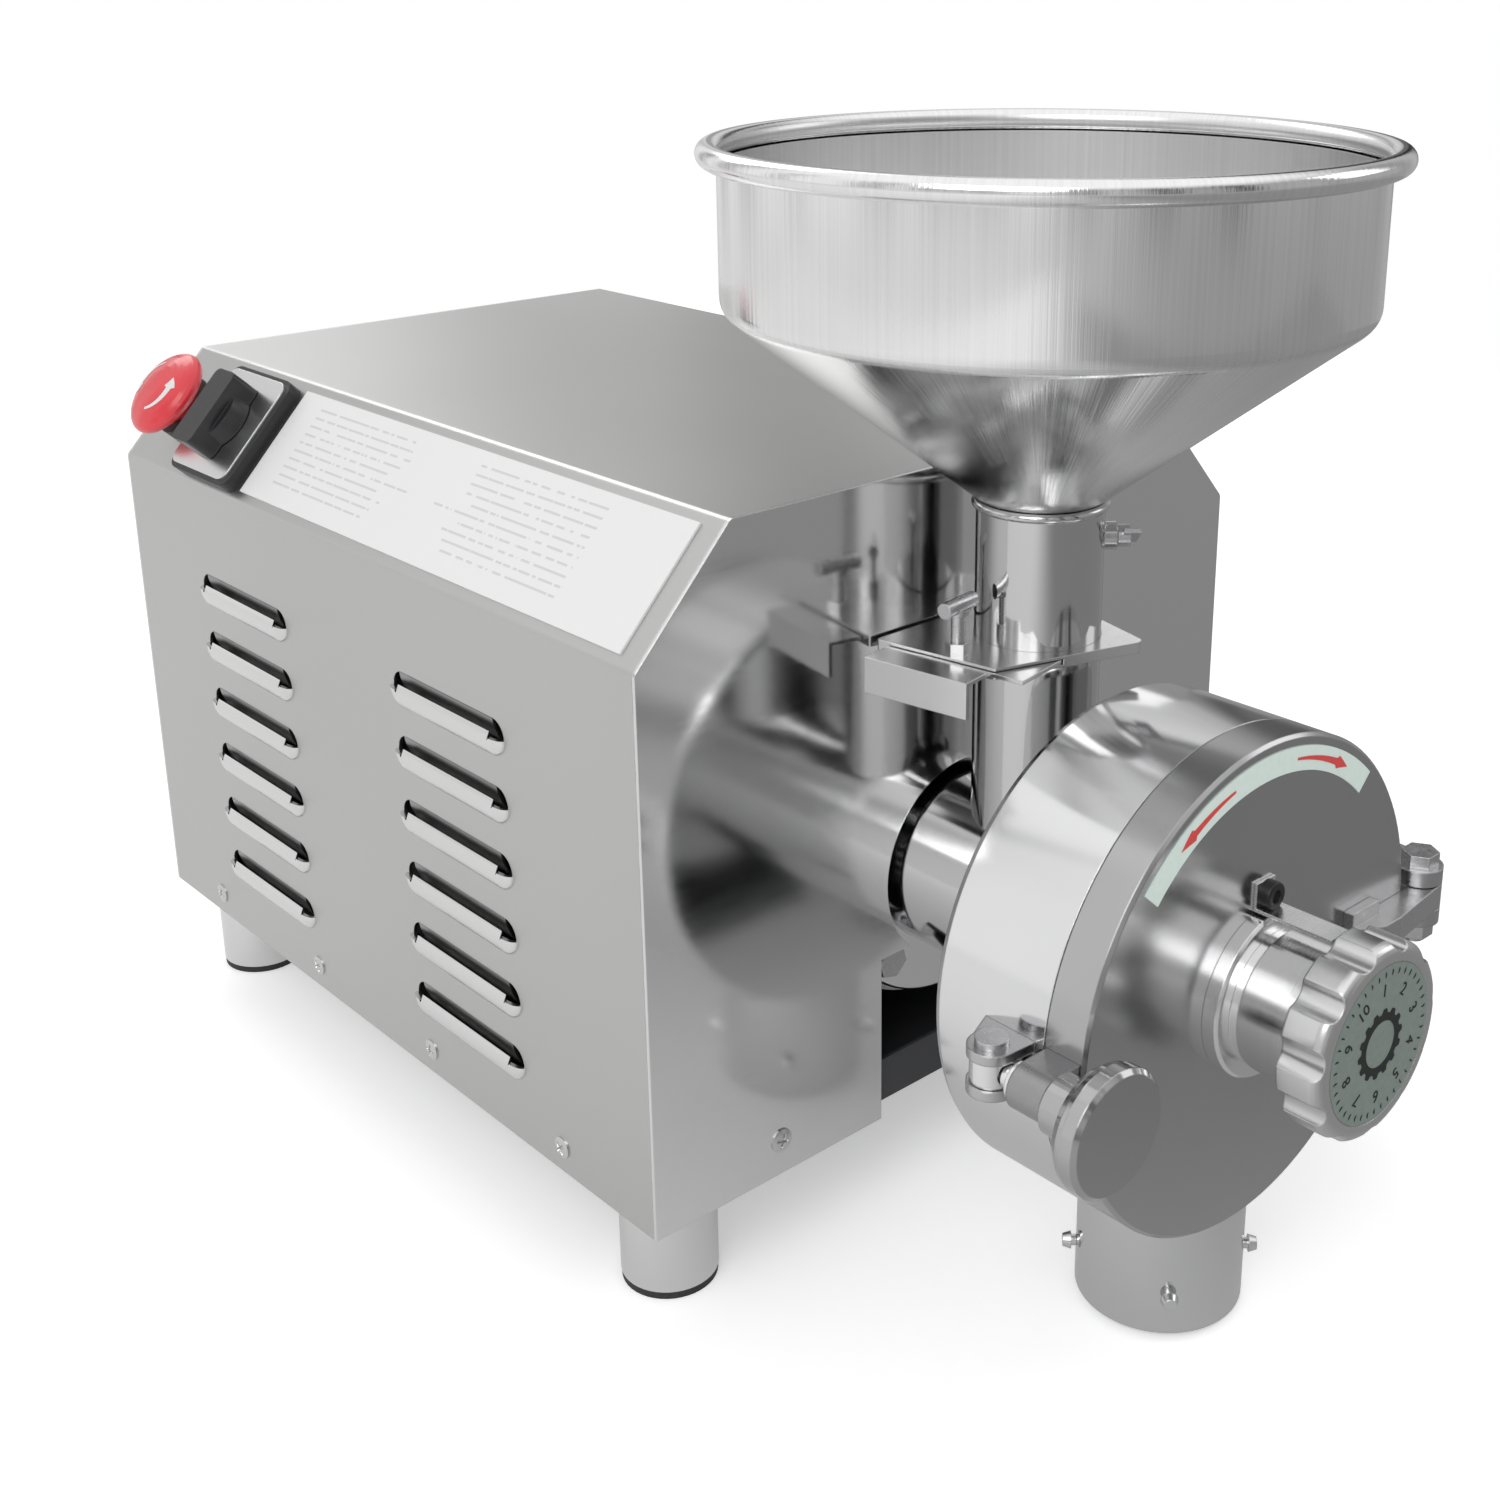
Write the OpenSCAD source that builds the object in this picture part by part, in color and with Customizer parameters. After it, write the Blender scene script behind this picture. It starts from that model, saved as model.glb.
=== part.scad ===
// Table-top flour mill: folded steel housing with the motor inside, grinding drum in front,
// conical hopper on a feed tube above, round flour outlet below.
// +Z is up, the drum faces -Y and X is the width. Every piece is drawn from the mill's own
// datum (mill axis at x = 0, front panel's face at y = 0, table at z = 0), and in_frame()
// then centres it over the footprint. "Forward" lengths run from the front panel towards -Y.

/* [Housing] */
// Width across the side walls
body_w = 300; // [290:1:330]
// Depth from front panel to rear panel
body_d = 375; // [370:1:420]
// Height of the side walls, up to the slanted shoulders
wall_h = 209; // [200:1:235]
// Width of a slanted shoulder, seen from above
shoulder_w = 40; // [36:1:46]
// Rise of a slanted shoulder
shoulder_rise = 43; // [38:1:50]
// Thickness of the folded sheet
sheet_t = 1.5; // [1:0.1:2]
// Outer radius of the folds
bend_r = 3; // [2.5:0.1:5]
// Height of the base tray's bottom above the housing's lower edge
tray_lift = 6.5; // [4:0.5:10]
// Height of the base tray's folded-up rim
tray_rim = 17.5; // [12:0.5:22]

/* [Feet] */
// Height of the housing's lower edge above the table
foot_h = 40; // [34:1:60]
// Diameter of a foot tube
foot_d = 36; // [30:1:40]
// Wall of a foot tube
foot_t = 2; // [1.5:0.1:3]
// Distance of a foot's axis from the housing's sides
foot_in_x = 26; // [22:1:32]
// Distance of a foot's axis from the front and rear panels
foot_in_y = 28; // [24:1:40]
// Thickness of the rubber under a foot
pad_t = 3; // [2:0.5:6]
// Diameter of the bolt that holds a foot
foot_bolt_d = 8; // [6:0.5:8]

/* [Louvres] */
// Number of louvres in a column
louvre_n = 6; // [2:1:6]
// Length of a louvre
louvre_len = 74; // [50:1:84]
// Height of a louvre
louvre_h = 13; // [10:0.5:15]
// Distance between the louvres of a column
louvre_pitch = 26; // [22:0.5:28]
// Height of the lowest louvre above the housing's lower edge
louvre_low = 33; // [32:1:40]
// How far a louvre's pressed lip stands out
louvre_out = 3; // [2.5:0.1:4]
// Distance of the front column's middle from the front panel
louvre_y1 = 115; // [100:1:130]
// Distance between the middles of the two columns
louvre_dy = 158; // [120:1:175]

/* [Controls] */
// Distance of the label plate from the front panel
label_y = 11; // [6:1:20]
// Gap between the label plate and the cam switch
label_gap = 3; // [2:0.5:20]
// Distance of the label plate from both edges of the shoulder
label_in = 4.5; // [3:0.5:8]
// Thickness of the label plate
label_t = 0.8; // [0.5:0.1:1]
// Distance between the axes of the cam switch and the emergency stop
switch_gap = 41; // [41:0.5:50]
// Side of the cam switch's plate
switch_w = 48; // [40:1:50]
// Height of the cam switch's black base
switch_base_h = 6; // [5:0.5:8]
// Side of the cam switch's block below the shoulder
switch_block = 40; // [36:1:42]
// Depth of that block
switch_deep = 44; // [36:1:48]
// Diameter of the cam switch's round grip
grip_d = 26; // [22:1:28]
// Length of the bar across the grip
grip_len = 35; // [30:1:38]
// Width of that bar
grip_w = 16; // [10:1:18]
// Height of the cam switch's grip and bar above its plate
grip_h = 13; // [11:1:16]
// Distance of the emergency stop from the rear panel
stop_y = 34; // [28:1:34]
// Distance of both controls up the shoulder from its lower edge
control_u = 28; // [26:1:32]
// Diameter of the emergency stop's mushroom head
stop_d = 40; // [30:1:40]
// Height of the mushroom head's top above the shoulder
stop_top = 25; // [25:1:32]
// How far the mushroom head can be pressed
stop_travel = 4; // [3:0.5:5]

/* [Front panel] */
// Height of the mill axis above the housing's lower edge
axis_h = 96.4; // [94:0.2:104]
// Radius of the round hole for the barrel
hole_r = 40; // [38:0.5:42]
// Width of the open slot below that hole
slot_w = 86; // [60:1:90]
// Height of the slot's upper corners above the housing's lower edge
slot_h = 68; // [62:1:76]

/* [Barrel and drum] */
// Outer radius of the barrel
barrel_r = 36; // [34.5:0.5:37]
// Wall of the barrel
barrel_t = 5; // [4:0.5:6]
// Radius of the barrel's flange
flange_r = 57; // [54:1:60]
// Thickness of the barrel's flange
flange_t = 8; // [6:0.5:10]
// Distance of the flange's rear face behind the front panel's face
flange_in = 15; // [15:0.5:18]
// Forward distance of the drum's rear face
drum_f = 71; // [70:1:90]
// Outer radius of the drum and of its cover
drum_r = 88; // [84:0.5:89]
// Wall of the drum
drum_t = 4; // [3:0.5:5]
// Length of the drum up to the seam
drum_len = 47.7; // [46:0.1:54]
// Thickness of the drum's rear wall
drum_back_t = 6; // [5:0.5:8]
// Open seam between drum and cover
seam = 0.3; // [0.2:0.1:0.6]
// Length of the front cover
cover_len = 16; // [15:0.5:18]
// Thickness of the front cover's face
cover_t = 6; // [5.5:0.5:7]

/* [Outlet] */
// Outer radius of the flour outlet
spout_r = 30; // [26:0.5:32]
// Wall of the flour outlet
spout_t = 2; // [1.5:0.1:3]
// Forward distance of the outlet's axis
spout_f = 101; // [99:0.5:103]
// Height of the outlet's mouth above the table
spout_gap = 2.5; // [2:0.5:6]
// Height of the four bag pins above the table
pin_h = 18; // [14:0.5:24]
// Length of a bag pin
pin_len = 5; // [4:0.5:9]

/* [Feed tube and hopper] */
// Forward distance of the feed tube's axis
feed_f = 34; // [33.5:0.5:36]
// Outer radius of the feed tube
feed_r = 22.4; // [21:0.2:24]
// Wall of the feed tube
feed_t = 1.5; // [1.2:0.1:2]
// Height of the feed tube's rim above the housing's lower edge
feed_top = 245; // [240:1:270]
// Radius of the feed tube's rolled rim
feed_bead = 1.6; // [1.2:0.1:2]
// Radius of the hopper's upright wall
hopper_r = 109; // [90:1:125]
// Height of the hopper's upright wall
hopper_wall = 54.4; // [30:0.2:80]
// Height of the hopper's cone
cone_h = 67; // [50:1:90]
// Thickness of the hopper's sheet
hopper_t = 1.2; // [0.8:0.1:2]
// Radius of the hopper's rolled rim
rim_bead = 4; // [2.5:0.1:5]
// Length of the spigot that enters the feed tube
spigot_len = 23; // [18:1:28]
// Depth of the hopper screw below the feed tube's rim
wing_drop = 14; // [9:1:16]
// Direction of the hopper screw, turned from +X
wing_a = -43; // [-60:1:-20]

/* [Gate] */
// Height of the gate above the housing's lower edge
gate_h = 194; // [186:1:205]
// Turn of the gate's slide direction from the X axis
gate_a = 10; // [6:0.5:12]
// Thickness of the gate holder
holder_t = 4; // [3.6:0.1:5]
// Thickness of the gate's blade
blade_t = 1.5; // [1:0.1:1.6]
// Reach of the gate holder to the left of the feed tube's axis
holder_left = 41; // [38:0.5:44]
// Reach of the gate holder's point in front of the feed tube's axis
holder_front = 36; // [32:0.5:38]
// Gap between the gate holder and the front panel
holder_gap = 1.5; // [1:0.1:2]
// Distance of the gate's bent tab from the holder's left edge
tab_out = 12.5; // [10:0.5:16]
// Height of the gate's bent tab
tab_h = 13; // [8:0.5:16]
// Reach of the tab behind the gate's middle line
tab_rear = 35; // [24:0.5:36]
// Reach of the tab in front of the gate's middle line
tab_front = 7; // [5:0.5:15]
// Height of the gate screw's head above the holder
gate_screw_h = 15; // [10:0.5:20]

/* [Adjuster] */
// Radius of the collar on the cover
collar_r = 29.5; // [28:0.5:30]
// Length of the collar
collar_len = 6; // [5:0.5:8]
// Radius of the boss
boss_r = 24.5; // [22:0.5:26]
// Length of the boss in front of the collar
boss_len = 25; // [22:0.5:32]
// Radius of the adjusting knob over its lobes
knob_r = 33.7; // [32:0.1:36]
// Length of the adjusting knob
knob_len = 16; // [12:0.5:20]
// Rounding of the knob's front edge
knob_round = 4; // [2:0.5:4.5]
// Number of the knob's lobes
knob_n = 11; // [8:1:14]
// Depth of the hollows between the lobes
knob_dip = 3; // [1.5:0.1:3.2]
// Radius of the dial plate
dial_r = 27.3; // [24:0.1:28]
// Outer radius of the adjusting spindle
spindle_r = 14; // [13:0.5:15]
// Radius of the carrier's stem inside the spindle
stem_r = 9; // [8:0.5:10]

/* [Grinding discs] */
// Radius of both grinding discs
disc_r = 76; // [70:0.5:78]
// Thickness of a grinding disc without its teeth
disc_t = 8; // [6:0.5:9]
// Height of the teeth
tooth_h = 3; // [2:0.1:4]
// Gap between the teeth of the two discs
disc_gap = 1; // [0.8:0.1:1.6]
// Forward distance from the drum's rear wall to the turning disc
disc_free = 7; // [6.5:0.5:9]
// Number of coarse inner teeth
teeth_in = 18; // [12:1:20]
// Number of fine outer teeth
teeth_out = 45; // [30:1:48]

/* [Hinge and clamp] */
// Distance of the cover's hinge bolt from the mill axis
hinge_x = 100; // [98.5:0.5:106]
// Radius of the hinge's knuckles
knuckle_r = 8.5; // [7.5:0.5:9]
// Height of the whole hinge
hinge_h = 22; // [20:1:32]
// Radius of the hinge bolt
hinge_bolt_r = 4; // [3:0.5:5]
// Distance of the clamp's bolt from the mill axis
clamp_x = 98; // [96.5:0.5:102]
// Forward distance of the clamp's pivot pin from the seam, backwards
clamp_back = 12; // [10:0.5:14]
// Radius of the clamp's pivot pin
clamp_pin_r = 3; // [2.5:0.5:3.5]
// Radius of the clamp screw
screw_r = 4; // [3:0.5:4]
// Radius of the clamp nut's round face
nut_r = 20.5; // [16:0.5:24]
// Length of the clamp nut
nut_len = 24; // [20:0.5:28]

/* [Motor] */
// Outer radius of the motor's frame
motor_r = 78; // [76:0.5:79]
// Wall of the motor's frame
motor_t = 5.5; // [4:0.5:6]
// Distance of the motor frame's rear end from the rear panel
motor_gap = 85; // [82:1:100]
// Radius of the motor's shaft in its bearings
shaft_r = 12.5; // [11:0.5:13]
// Outer radius of the bearings
bearing_r = 26; // [24:0.5:28]
// Radius of the rotor
rotor_r = 44.5; // [38:0.5:50]
// Distance of the rotor and stator packs from the frame's rear end
core_rear = 30; // [28:1:36]
// Distance of both packs from the frame's front end
core_front = 40; // [38:1:46]
// Radius of the cooling fan
fan_r = 62; // [45:1:66]
// Distance of the cooling fan's rear face from the frame's rear end
fan_back = 55; // [53:1:58]
// Distance of both cradles from the frame's ends
cradle_in = 20; // [10:1:40]
// Length of a cradle along the motor
cradle_len = 30; // [20:1:40]
// Step of a cradle's sides in from the motor's sides
cradle_side = 14; // [8:1:20]
// Drop of the cradles' upper edge below the mill axis
cradle_drop = 40; // [30:1:50]
// Radius of the capacitor
cap_r = 22; // [18:1:24]
// Height of the capacitor without its terminals
cap_h = 90; // [70:1:110]

/* [Cable gland] */
// Distance of the gland from the housing's left side
gland_in = 55; // [45:1:70]
// Height of the gland above the housing's lower edge
gland_h = 42; // [32:1:52]
// How far the gland stands out behind the rear panel
gland_out = 16; // [12:0.5:22]
// Radius of the gland's bore
gland_bore = 4; // [3:0.5:5]

/* [Hidden] */
$fn = 96;

// Clearances: a running fit on the radius, a gap between still pieces, a free gap at a moving piece.
run_fit = 0.05;
snug = 0.05;
free_gap = 0.3;

// Heights
axis_z = foot_h + axis_h;
shoulder_z = foot_h + wall_h;
top_z = shoulder_z + shoulder_rise;
tray_z = foot_h + tray_lift;
floor_z = tray_z + sheet_t;
feed_top_z = foot_h + feed_top;
gate_z = foot_h + gate_h;
slope_a = atan2(shoulder_rise, shoulder_w);
slope_len = norm([shoulder_w, shoulder_rise]);

// Forward distances of the mill's faces
drum_in_f = drum_f + drum_back_t;
seam_f = drum_f + drum_len;
cover_f = seam_f + seam;
face_f = cover_f + cover_len;
cover_in_f = face_f - cover_t;
boss_f = face_f + collar_len + boss_len;
knob_f = boss_f + free_gap;
nose_f = knob_f + knob_len;
turn_f = drum_in_f + disc_free;
teeth_f = turn_f + disc_t + tooth_h;
still_f = teeth_f + disc_gap;
carrier_f = still_f + tooth_h + disc_t;
carrier_t = 6;
screw_f0 = -4;
screw_f1 = drum_in_f - free_gap;

// Hinge and clamp
hinge_f = face_f - 1;
clamp_f = seam_f - clamp_back;
lug_h = 16;
eye_h = 8.6;
eye_r = 7;
arm_f = cover_f + 1;
nut_f = face_f - 1.5;

// Motor, measured from the front panel backwards
bearing_w = 15;
bell_len = 55;
frame_y = flange_in + bell_len;
frame_end = body_d - motor_gap;
motor_len = frame_end - frame_y;
core_len = motor_len - core_rear - core_front;
bearing_y1 = flange_in + 4;
bearing_y2 = frame_end + 14;
shaft_end = frame_end + 62;

// Places of the controls and of the gland
switch_y = body_d - stop_y - switch_gap;
label_len = switch_y - switch_w / 2 - 2 - label_gap - label_y;
gland_x = body_w / 2 - gland_in;

// Emergency stop: half section of the mushroom head, as radius and height above the shoulder
stop_r = stop_d / 2;
stop_low = stop_top - 12;
stop_section = concat(
    [[0, stop_low], [stop_r - 4, stop_low], [stop_r - 1, stop_low + 2]],
    [for (i = [0:8]) [stop_r * cos(i * 10), stop_low + 4 + 8 * sin(i * 10)]],
    [[0, stop_top]]
);

// Reaches that centre the part over its footprint
grip_top = switch_base_h + 1.5 + free_gap + grip_h;
left_reach = min([for (p = concat(stop_section, [[grip_len / 2, grip_top]]))
    -body_w / 2 + (control_u - p[0]) * cos(slope_a) - p[1] * sin(slope_a)]);
mid_x = (body_w / 2 + louvre_out + left_reach) / 2;
mid_y = (body_d + gland_out - nose_f) / 2;

// ---- helpers

module in_frame() {
    translate([-mid_x, -mid_y, 0]) children();
}

// Local +Z runs forward from a forward distance on the mill axis, local +Y is up.
module forward(f) {
    translate([0, -f, axis_z]) rotate([90, 0, 0]) children();
}

// A revolved piece on the mill axis, its section given as radius and forward distance.
module mill_turn(section) {
    forward(0) rotate_extrude() polygon(section);
}

module ring(r_out, r_in, h) {
    difference() {
        cylinder(r = r_out, h = h);
        translate([0, 0, -1]) cylinder(r = r_in, h = h + 2);
    }
}

// An outline in X and Z, extruded along Y from y0.
module along_y(y0, len) {
    translate([0, y0 + len, 0]) rotate([90, 0, 0]) linear_extrude(len) children();
}

// Local +Z stands on a side wall and points outward, local +Y is up.
module on_wall(side, y, z) {
    translate([side * body_w / 2, y, z]) rotate([90, 0, side * 90]) children();
}

// Local +Z stands on the left shoulder, local +X runs up the slope.
module on_shoulder(u, y) {
    translate([-body_w / 2, y, shoulder_z]) rotate([0, -slope_a, 0]) translate([u, 0, 0]) children();
}

// Local +X is the gate's slide direction, local +Z is up from the gate's middle height.
module at_gate() {
    translate([0, -feed_f, gate_z]) rotate([0, 0, gate_a]) children();
}

// Local origin on the feed tube's axis at its rim.
module at_rim() {
    translate([0, -feed_f, feed_top_z]) children();
}

// A polygon with each corner i rounded by r[i].
function rounded(p, r, n = 5) = [for (i = [0:len(p) - 1])
    let(a = p[(i + len(p) - 1) % len(p)], b = p[i], c = p[(i + 1) % len(p)],
        u = (a - b) / norm(a - b), v = (c - b) / norm(c - b), h = acos(u * v) / 2,
        o = b + (u + v) / norm(u + v) * r[i] / sin(h),
        s = b + u * r[i] / tan(h) - o, e = b + v * r[i] / tan(h) - o,
        a0 = atan2(s[1], s[0]), da = (atan2(e[1], e[0]) - a0 + 540) % 360 - 180)
    each (r[i] == 0 ? [b] : [for (k = [0:n]) o + r[i] * [cos(a0 + da * k / n), sin(a0 + da * k / n)]])];

function block(w, h) = [[-w / 2, -h / 2], [w / 2, -h / 2], [w / 2, h / 2], [-w / 2, h / 2]];

// The housing's outline in X and Z, moved inward by t, with its four upper folds rounded.
function house(t) =
    let(x = body_w / 2 - t, z = top_z - t,
        k = sin(slope_a) * body_w / 2 + cos(slope_a) * shoulder_z - t,
        zs = (k - sin(slope_a) * x) / cos(slope_a), xt = (k - cos(slope_a) * z) / sin(slope_a),
        r = bend_r - t)
    rounded([[-x, foot_h], [x, foot_h], [x, zs], [xt, z], [-xt, z], [-x, zs]], [0, 0, r, r, r, r]);

// ---- housing

module foot_places() {
    for (x = [-1, 1] * (body_w / 2 - foot_in_x), y = [foot_in_y, body_d - foot_in_y])
        translate([x, y, 0]) children();
}

module base_tray() {
    w = body_w - 2 * sheet_t - 2 * snug;
    d = body_d - 2 * sheet_t;
    color("dimgray") in_frame() difference() {
        translate([-w / 2, sheet_t, tray_z]) cube([w, d, tray_rim]);
        translate([-w / 2 + sheet_t, 2 * sheet_t, floor_z]) cube([w - 2 * sheet_t, d - 2 * sheet_t, tray_rim]);
        foot_places() translate([0, 0, tray_z - 1]) cylinder(d = foot_bolt_d + 0.4, h = 10);
    }
}

module foot_tubes() {
    color("silver") in_frame() foot_places() difference() {
        translate([0, 0, pad_t]) cylinder(d = foot_d, h = tray_z - pad_t);
        translate([0, 0, pad_t - 1]) cylinder(d = foot_d - 2 * foot_t, h = tray_z - 3 - pad_t + 1);
        translate([0, 0, tray_z - 4]) cylinder(d = foot_bolt_d + 0.4, h = 5);
    }
}

module foot_pads() {
    color([0.12, 0.12, 0.12]) in_frame() foot_places() {
        cylinder(d = foot_d - 0.6, h = pad_t);
        translate([0, 0, pad_t]) cylinder(d = foot_d - 2 * foot_t - 0.2, h = 9);
    }
}

module foot_bolts() {
    color("gray") in_frame() foot_places() {
        translate([0, 0, tray_z - 3 - 5.5]) cylinder(d = 1.6 * foot_bolt_d, h = 5.5, $fn = 6);
        translate([0, 0, tray_z - 4]) cylinder(d = foot_bolt_d, h = 16);
        translate([0, 0, floor_z]) cylinder(d = 1.6 * foot_bolt_d, h = 6.5, $fn = 6);
    }
}

// A louvre's open slot, through the sheet.
module louvre_slot() {
    half = (louvre_len - louvre_h) / 2;
    translate([0, 0, -sheet_t - 1]) linear_extrude(sheet_t + 2) {
        square([2 * half, louvre_h], center = true);
        for (x = [-half, half]) translate([x, 0]) circle(d = louvre_h, $fn = 32);
    }
}

// The pressed lip over the lower half of the slot: one section swept round half a slot's rim.
module louvre_lip() {
    half = (louvre_len - louvre_h) / 2;
    r = louvre_h / 2;
    section = concat(
        [for (i = [0:3]) [(r + 0.9) * cos(28 * i), louvre_out * sin(30 * i)]],
        [for (i = [2:-1:0]) [(r - 0.4) * cos(42 * i), (louvre_out - 1.2) * sin(45 * i)]]
    );
    path = concat([for (i = [0:3]) [half, -30 * i]], [for (i = [3:6]) [-half, -30 * i]]);
    n = len(section);
    m = len(path);
    polyhedron(
        points = [for (p = path, q = section) [p[0] + q[0] * cos(p[1]), q[0] * sin(p[1]), q[1]]],
        faces = concat([[for (j = [0:n - 1]) j]], [[for (j = [n - 1:-1:0]) (m - 1) * n + j]],
            [for (i = [0:m - 2], j = [0:n - 1]) [i * n + j, (i + 1) * n + j, (i + 1) * n + (j + 1) % n, i * n + (j + 1) % n]])
    );
}

module louvre_places() {
    for (side = [-1, 1], c = [0, 1], i = [0:louvre_n - 1])
        on_wall(side, louvre_y1 + c * louvre_dy, foot_h + louvre_low + i * louvre_pitch) children();
}

module housing_wrap() {
    color([0.78, 0.78, 0.78]) in_frame() difference() {
        along_y(sheet_t, body_d - 2 * sheet_t) difference() {
            polygon(house(0));
            polygon([for (p = house(sheet_t)) p[1] > foot_h + 1 ? p : [p[0], p[1] - 1]]);
        }
        louvre_places() louvre_slot();
        on_shoulder(control_u, body_d - stop_y) translate([0, 0, -9]) cylinder(r = 11.3, h = 12);
        on_shoulder(control_u, switch_y) translate([0, 0, -9]) cylinder(r = 9.3, h = 12);
    }
}

module louvre_lips() {
    color([0.82, 0.82, 0.82]) in_frame() louvre_places() louvre_lip();
}

module front_panel() {
    color([0.85, 0.85, 0.86]) in_frame() along_y(0, sheet_t) difference() {
        polygon(house(0));
        translate([0, axis_z]) circle(r = hole_r);
        translate([-slot_w / 2, foot_h - 1]) square([slot_w, slot_h + 1]);
    }
}

module rear_panel() {
    color([0.75, 0.75, 0.76]) in_frame() along_y(body_d - sheet_t, sheet_t) difference() {
        polygon(house(0));
        translate([-gland_x, foot_h + gland_h]) circle(r = 8.2);
        for (i = [0:7], x = [-46, 46]) translate([x, axis_z - 49 + i * 14]) {
            square([64, 5], center = true);
            for (e = [-32, 32]) translate([e, 0]) circle(d = 5, $fn = 24);
        }
    }
}

module label_plate() {
    color("white") in_frame() on_shoulder(label_in, label_y)
        cube([slope_len - 2 * label_in, label_len, label_t]);
}

// ---- controls

module stop_collar() {
    color([0.15, 0.15, 0.15]) in_frame() on_shoulder(control_u, body_d - stop_y) difference() {
        union() {
            cylinder(r = 14, h = stop_low - stop_travel - 1);
            translate([0, 0, -12]) cylinder(r = 11, h = 12.5);
            translate([0, 0, -sheet_t - 5]) cylinder(r = 15, h = 5);
        }
        translate([0, 0, -13]) cylinder(r = 8 + run_fit, h = 40);
    }
}

module stop_button() {
    color("crimson") in_frame() on_shoulder(control_u, body_d - stop_y) {
        rotate_extrude() polygon(stop_section);
        translate([0, 0, -10]) cylinder(r = 8, h = stop_low + 11);
    }
}

module switch_body() {
    color([0.1, 0.1, 0.1]) in_frame() on_shoulder(control_u, switch_y) difference() {
        union() {
            linear_extrude(switch_base_h) polygon(rounded(block(switch_w + 4, switch_w + 4), [6, 6, 6, 6]));
            translate([0, 0, -sheet_t - 2]) cylinder(r = 9, h = sheet_t + 3);
            translate([-switch_block / 2, -switch_block / 2, -sheet_t - switch_deep])
                cube([switch_block, switch_block, switch_deep]);
        }
        translate([0, 0, -20]) cylinder(r = 4 + run_fit, h = 40);
    }
}

module switch_plate() {
    color([0.8, 0.8, 0.8]) in_frame() on_shoulder(control_u, switch_y)
        translate([0, 0, switch_base_h]) linear_extrude(1.5) difference() {
            polygon(rounded(block(switch_w, switch_w), [5, 5, 5, 5]));
            circle(r = 8);
        }
}

module switch_grip() {
    h0 = switch_base_h + 1.5 + free_gap;
    color([0.08, 0.08, 0.08]) in_frame() on_shoulder(control_u, switch_y) {
        translate([0, 0, -15]) cylinder(r = 4, h = h0 + 16);
        translate([0, 0, h0]) cylinder(r1 = grip_d / 2, r2 = grip_d / 2 - 1, h = 0.6 * grip_h);
        translate([0, 0, h0]) linear_extrude(grip_h)
            polygon(rounded(block(grip_len, grip_w), [3, 3, 3, 3]));
    }
}

module cable_gland() {
    color([0.12, 0.12, 0.12]) in_frame() translate([-gland_x, body_d, foot_h + gland_h]) rotate([-90, 0, 0])
        difference() {
            union() {
                translate([0, 0, -sheet_t - 8]) cylinder(r = 8, h = sheet_t + 9);
                translate([0, 0, -sheet_t - 5]) cylinder(r = 12, h = 5, $fn = 6);
                cylinder(r = 12, h = gland_out / 2, $fn = 6);
                translate([0, 0, gland_out / 2]) cylinder(r1 = 10, r2 = gland_bore + 2, h = gland_out / 2);
            }
            translate([0, 0, -sheet_t - 10]) cylinder(r = gland_bore, h = gland_out + 20);
        }
}

// ---- motor

module capacitor() {
    x = (motor_r + body_w / 2) / 2;
    color([0.2, 0.2, 0.22]) in_frame() translate([x, foot_in_y + foot_d + 20, floor_z]) {
        cylinder(r = cap_r, h = cap_h);
        cylinder(r = cap_r + 3, h = 12);
        translate([-6, -14, cap_h]) cube([2, 6, 8]);
        translate([4, 8, cap_h]) cube([2, 6, 8]);
    }
}

module motor_cradle() {
    saddle = axis_z - floor_z - cradle_drop;
    color("dimgray") in_frame() difference() {
        for (y = [frame_y + cradle_in, frame_end - cradle_in - cradle_len])
            translate([-motor_r + cradle_side, y, floor_z])
                cube([2 * (motor_r - cradle_side), cradle_len, saddle]);
        forward(-frame_end - 1) cylinder(r = motor_r + snug, h = motor_len + 2);
        translate([-24, 0, floor_z + 3]) cube([48, body_d, 4]);
    }
}

module motor_frame() {
    color([0.3, 0.32, 0.35]) in_frame() forward(-frame_end) ring(motor_r, motor_r - motor_t, motor_len);
}

module bell_front() {
    y = flange_in;
    b = bearing_r + snug;
    color([0.45, 0.45, 0.47]) in_frame() difference() {
        mill_turn([[shaft_r + 4, -y], [60, -y], [60, -y - 11], [motor_r, -frame_y + 12], [motor_r, -frame_y],
            [motor_r - motor_t, -frame_y], [motor_r - motor_t, -frame_y + 9], [56, -y - 16],
            [b + 8, -y - 16], [b + 8, -y - 24], [b, -y - 24], [b, -bearing_y1], [shaft_r + 4, -bearing_y1]]);
        flange_bolt_places() translate([0, 0, -1]) cylinder(r = 4.2, h = 20);
    }
}

module bell_rear() {
    y = frame_end;
    b = bearing_r + snug;
    color([0.45, 0.45, 0.47]) in_frame()
        mill_turn([[motor_r, -y], [motor_r, -y - 12], [60, -y - 33], [shaft_r + 4, -y - 33],
            [shaft_r + 4, -bearing_y2 - bearing_w], [b, -bearing_y2 - bearing_w], [b, -bearing_y2],
            [b + 8, -bearing_y2], [b + 8, -y - 25], [56, -y - 25], [motor_r - motor_t, -y - 8],
            [motor_r - motor_t, -y]]);
}

module stator_core() {
    r = motor_r - motor_t - snug;
    color([0.25, 0.25, 0.27]) in_frame() forward(-frame_end + core_rear) difference() {
        cylinder(r = r, h = core_len);
        translate([0, 0, -1]) cylinder(r = rotor_r + 0.5, h = motor_len);
        for (i = [0:23]) rotate(i * 15) translate([rotor_r - 2, -1.5, -1]) cube([13, 3, motor_len]);
    }
}

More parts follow.
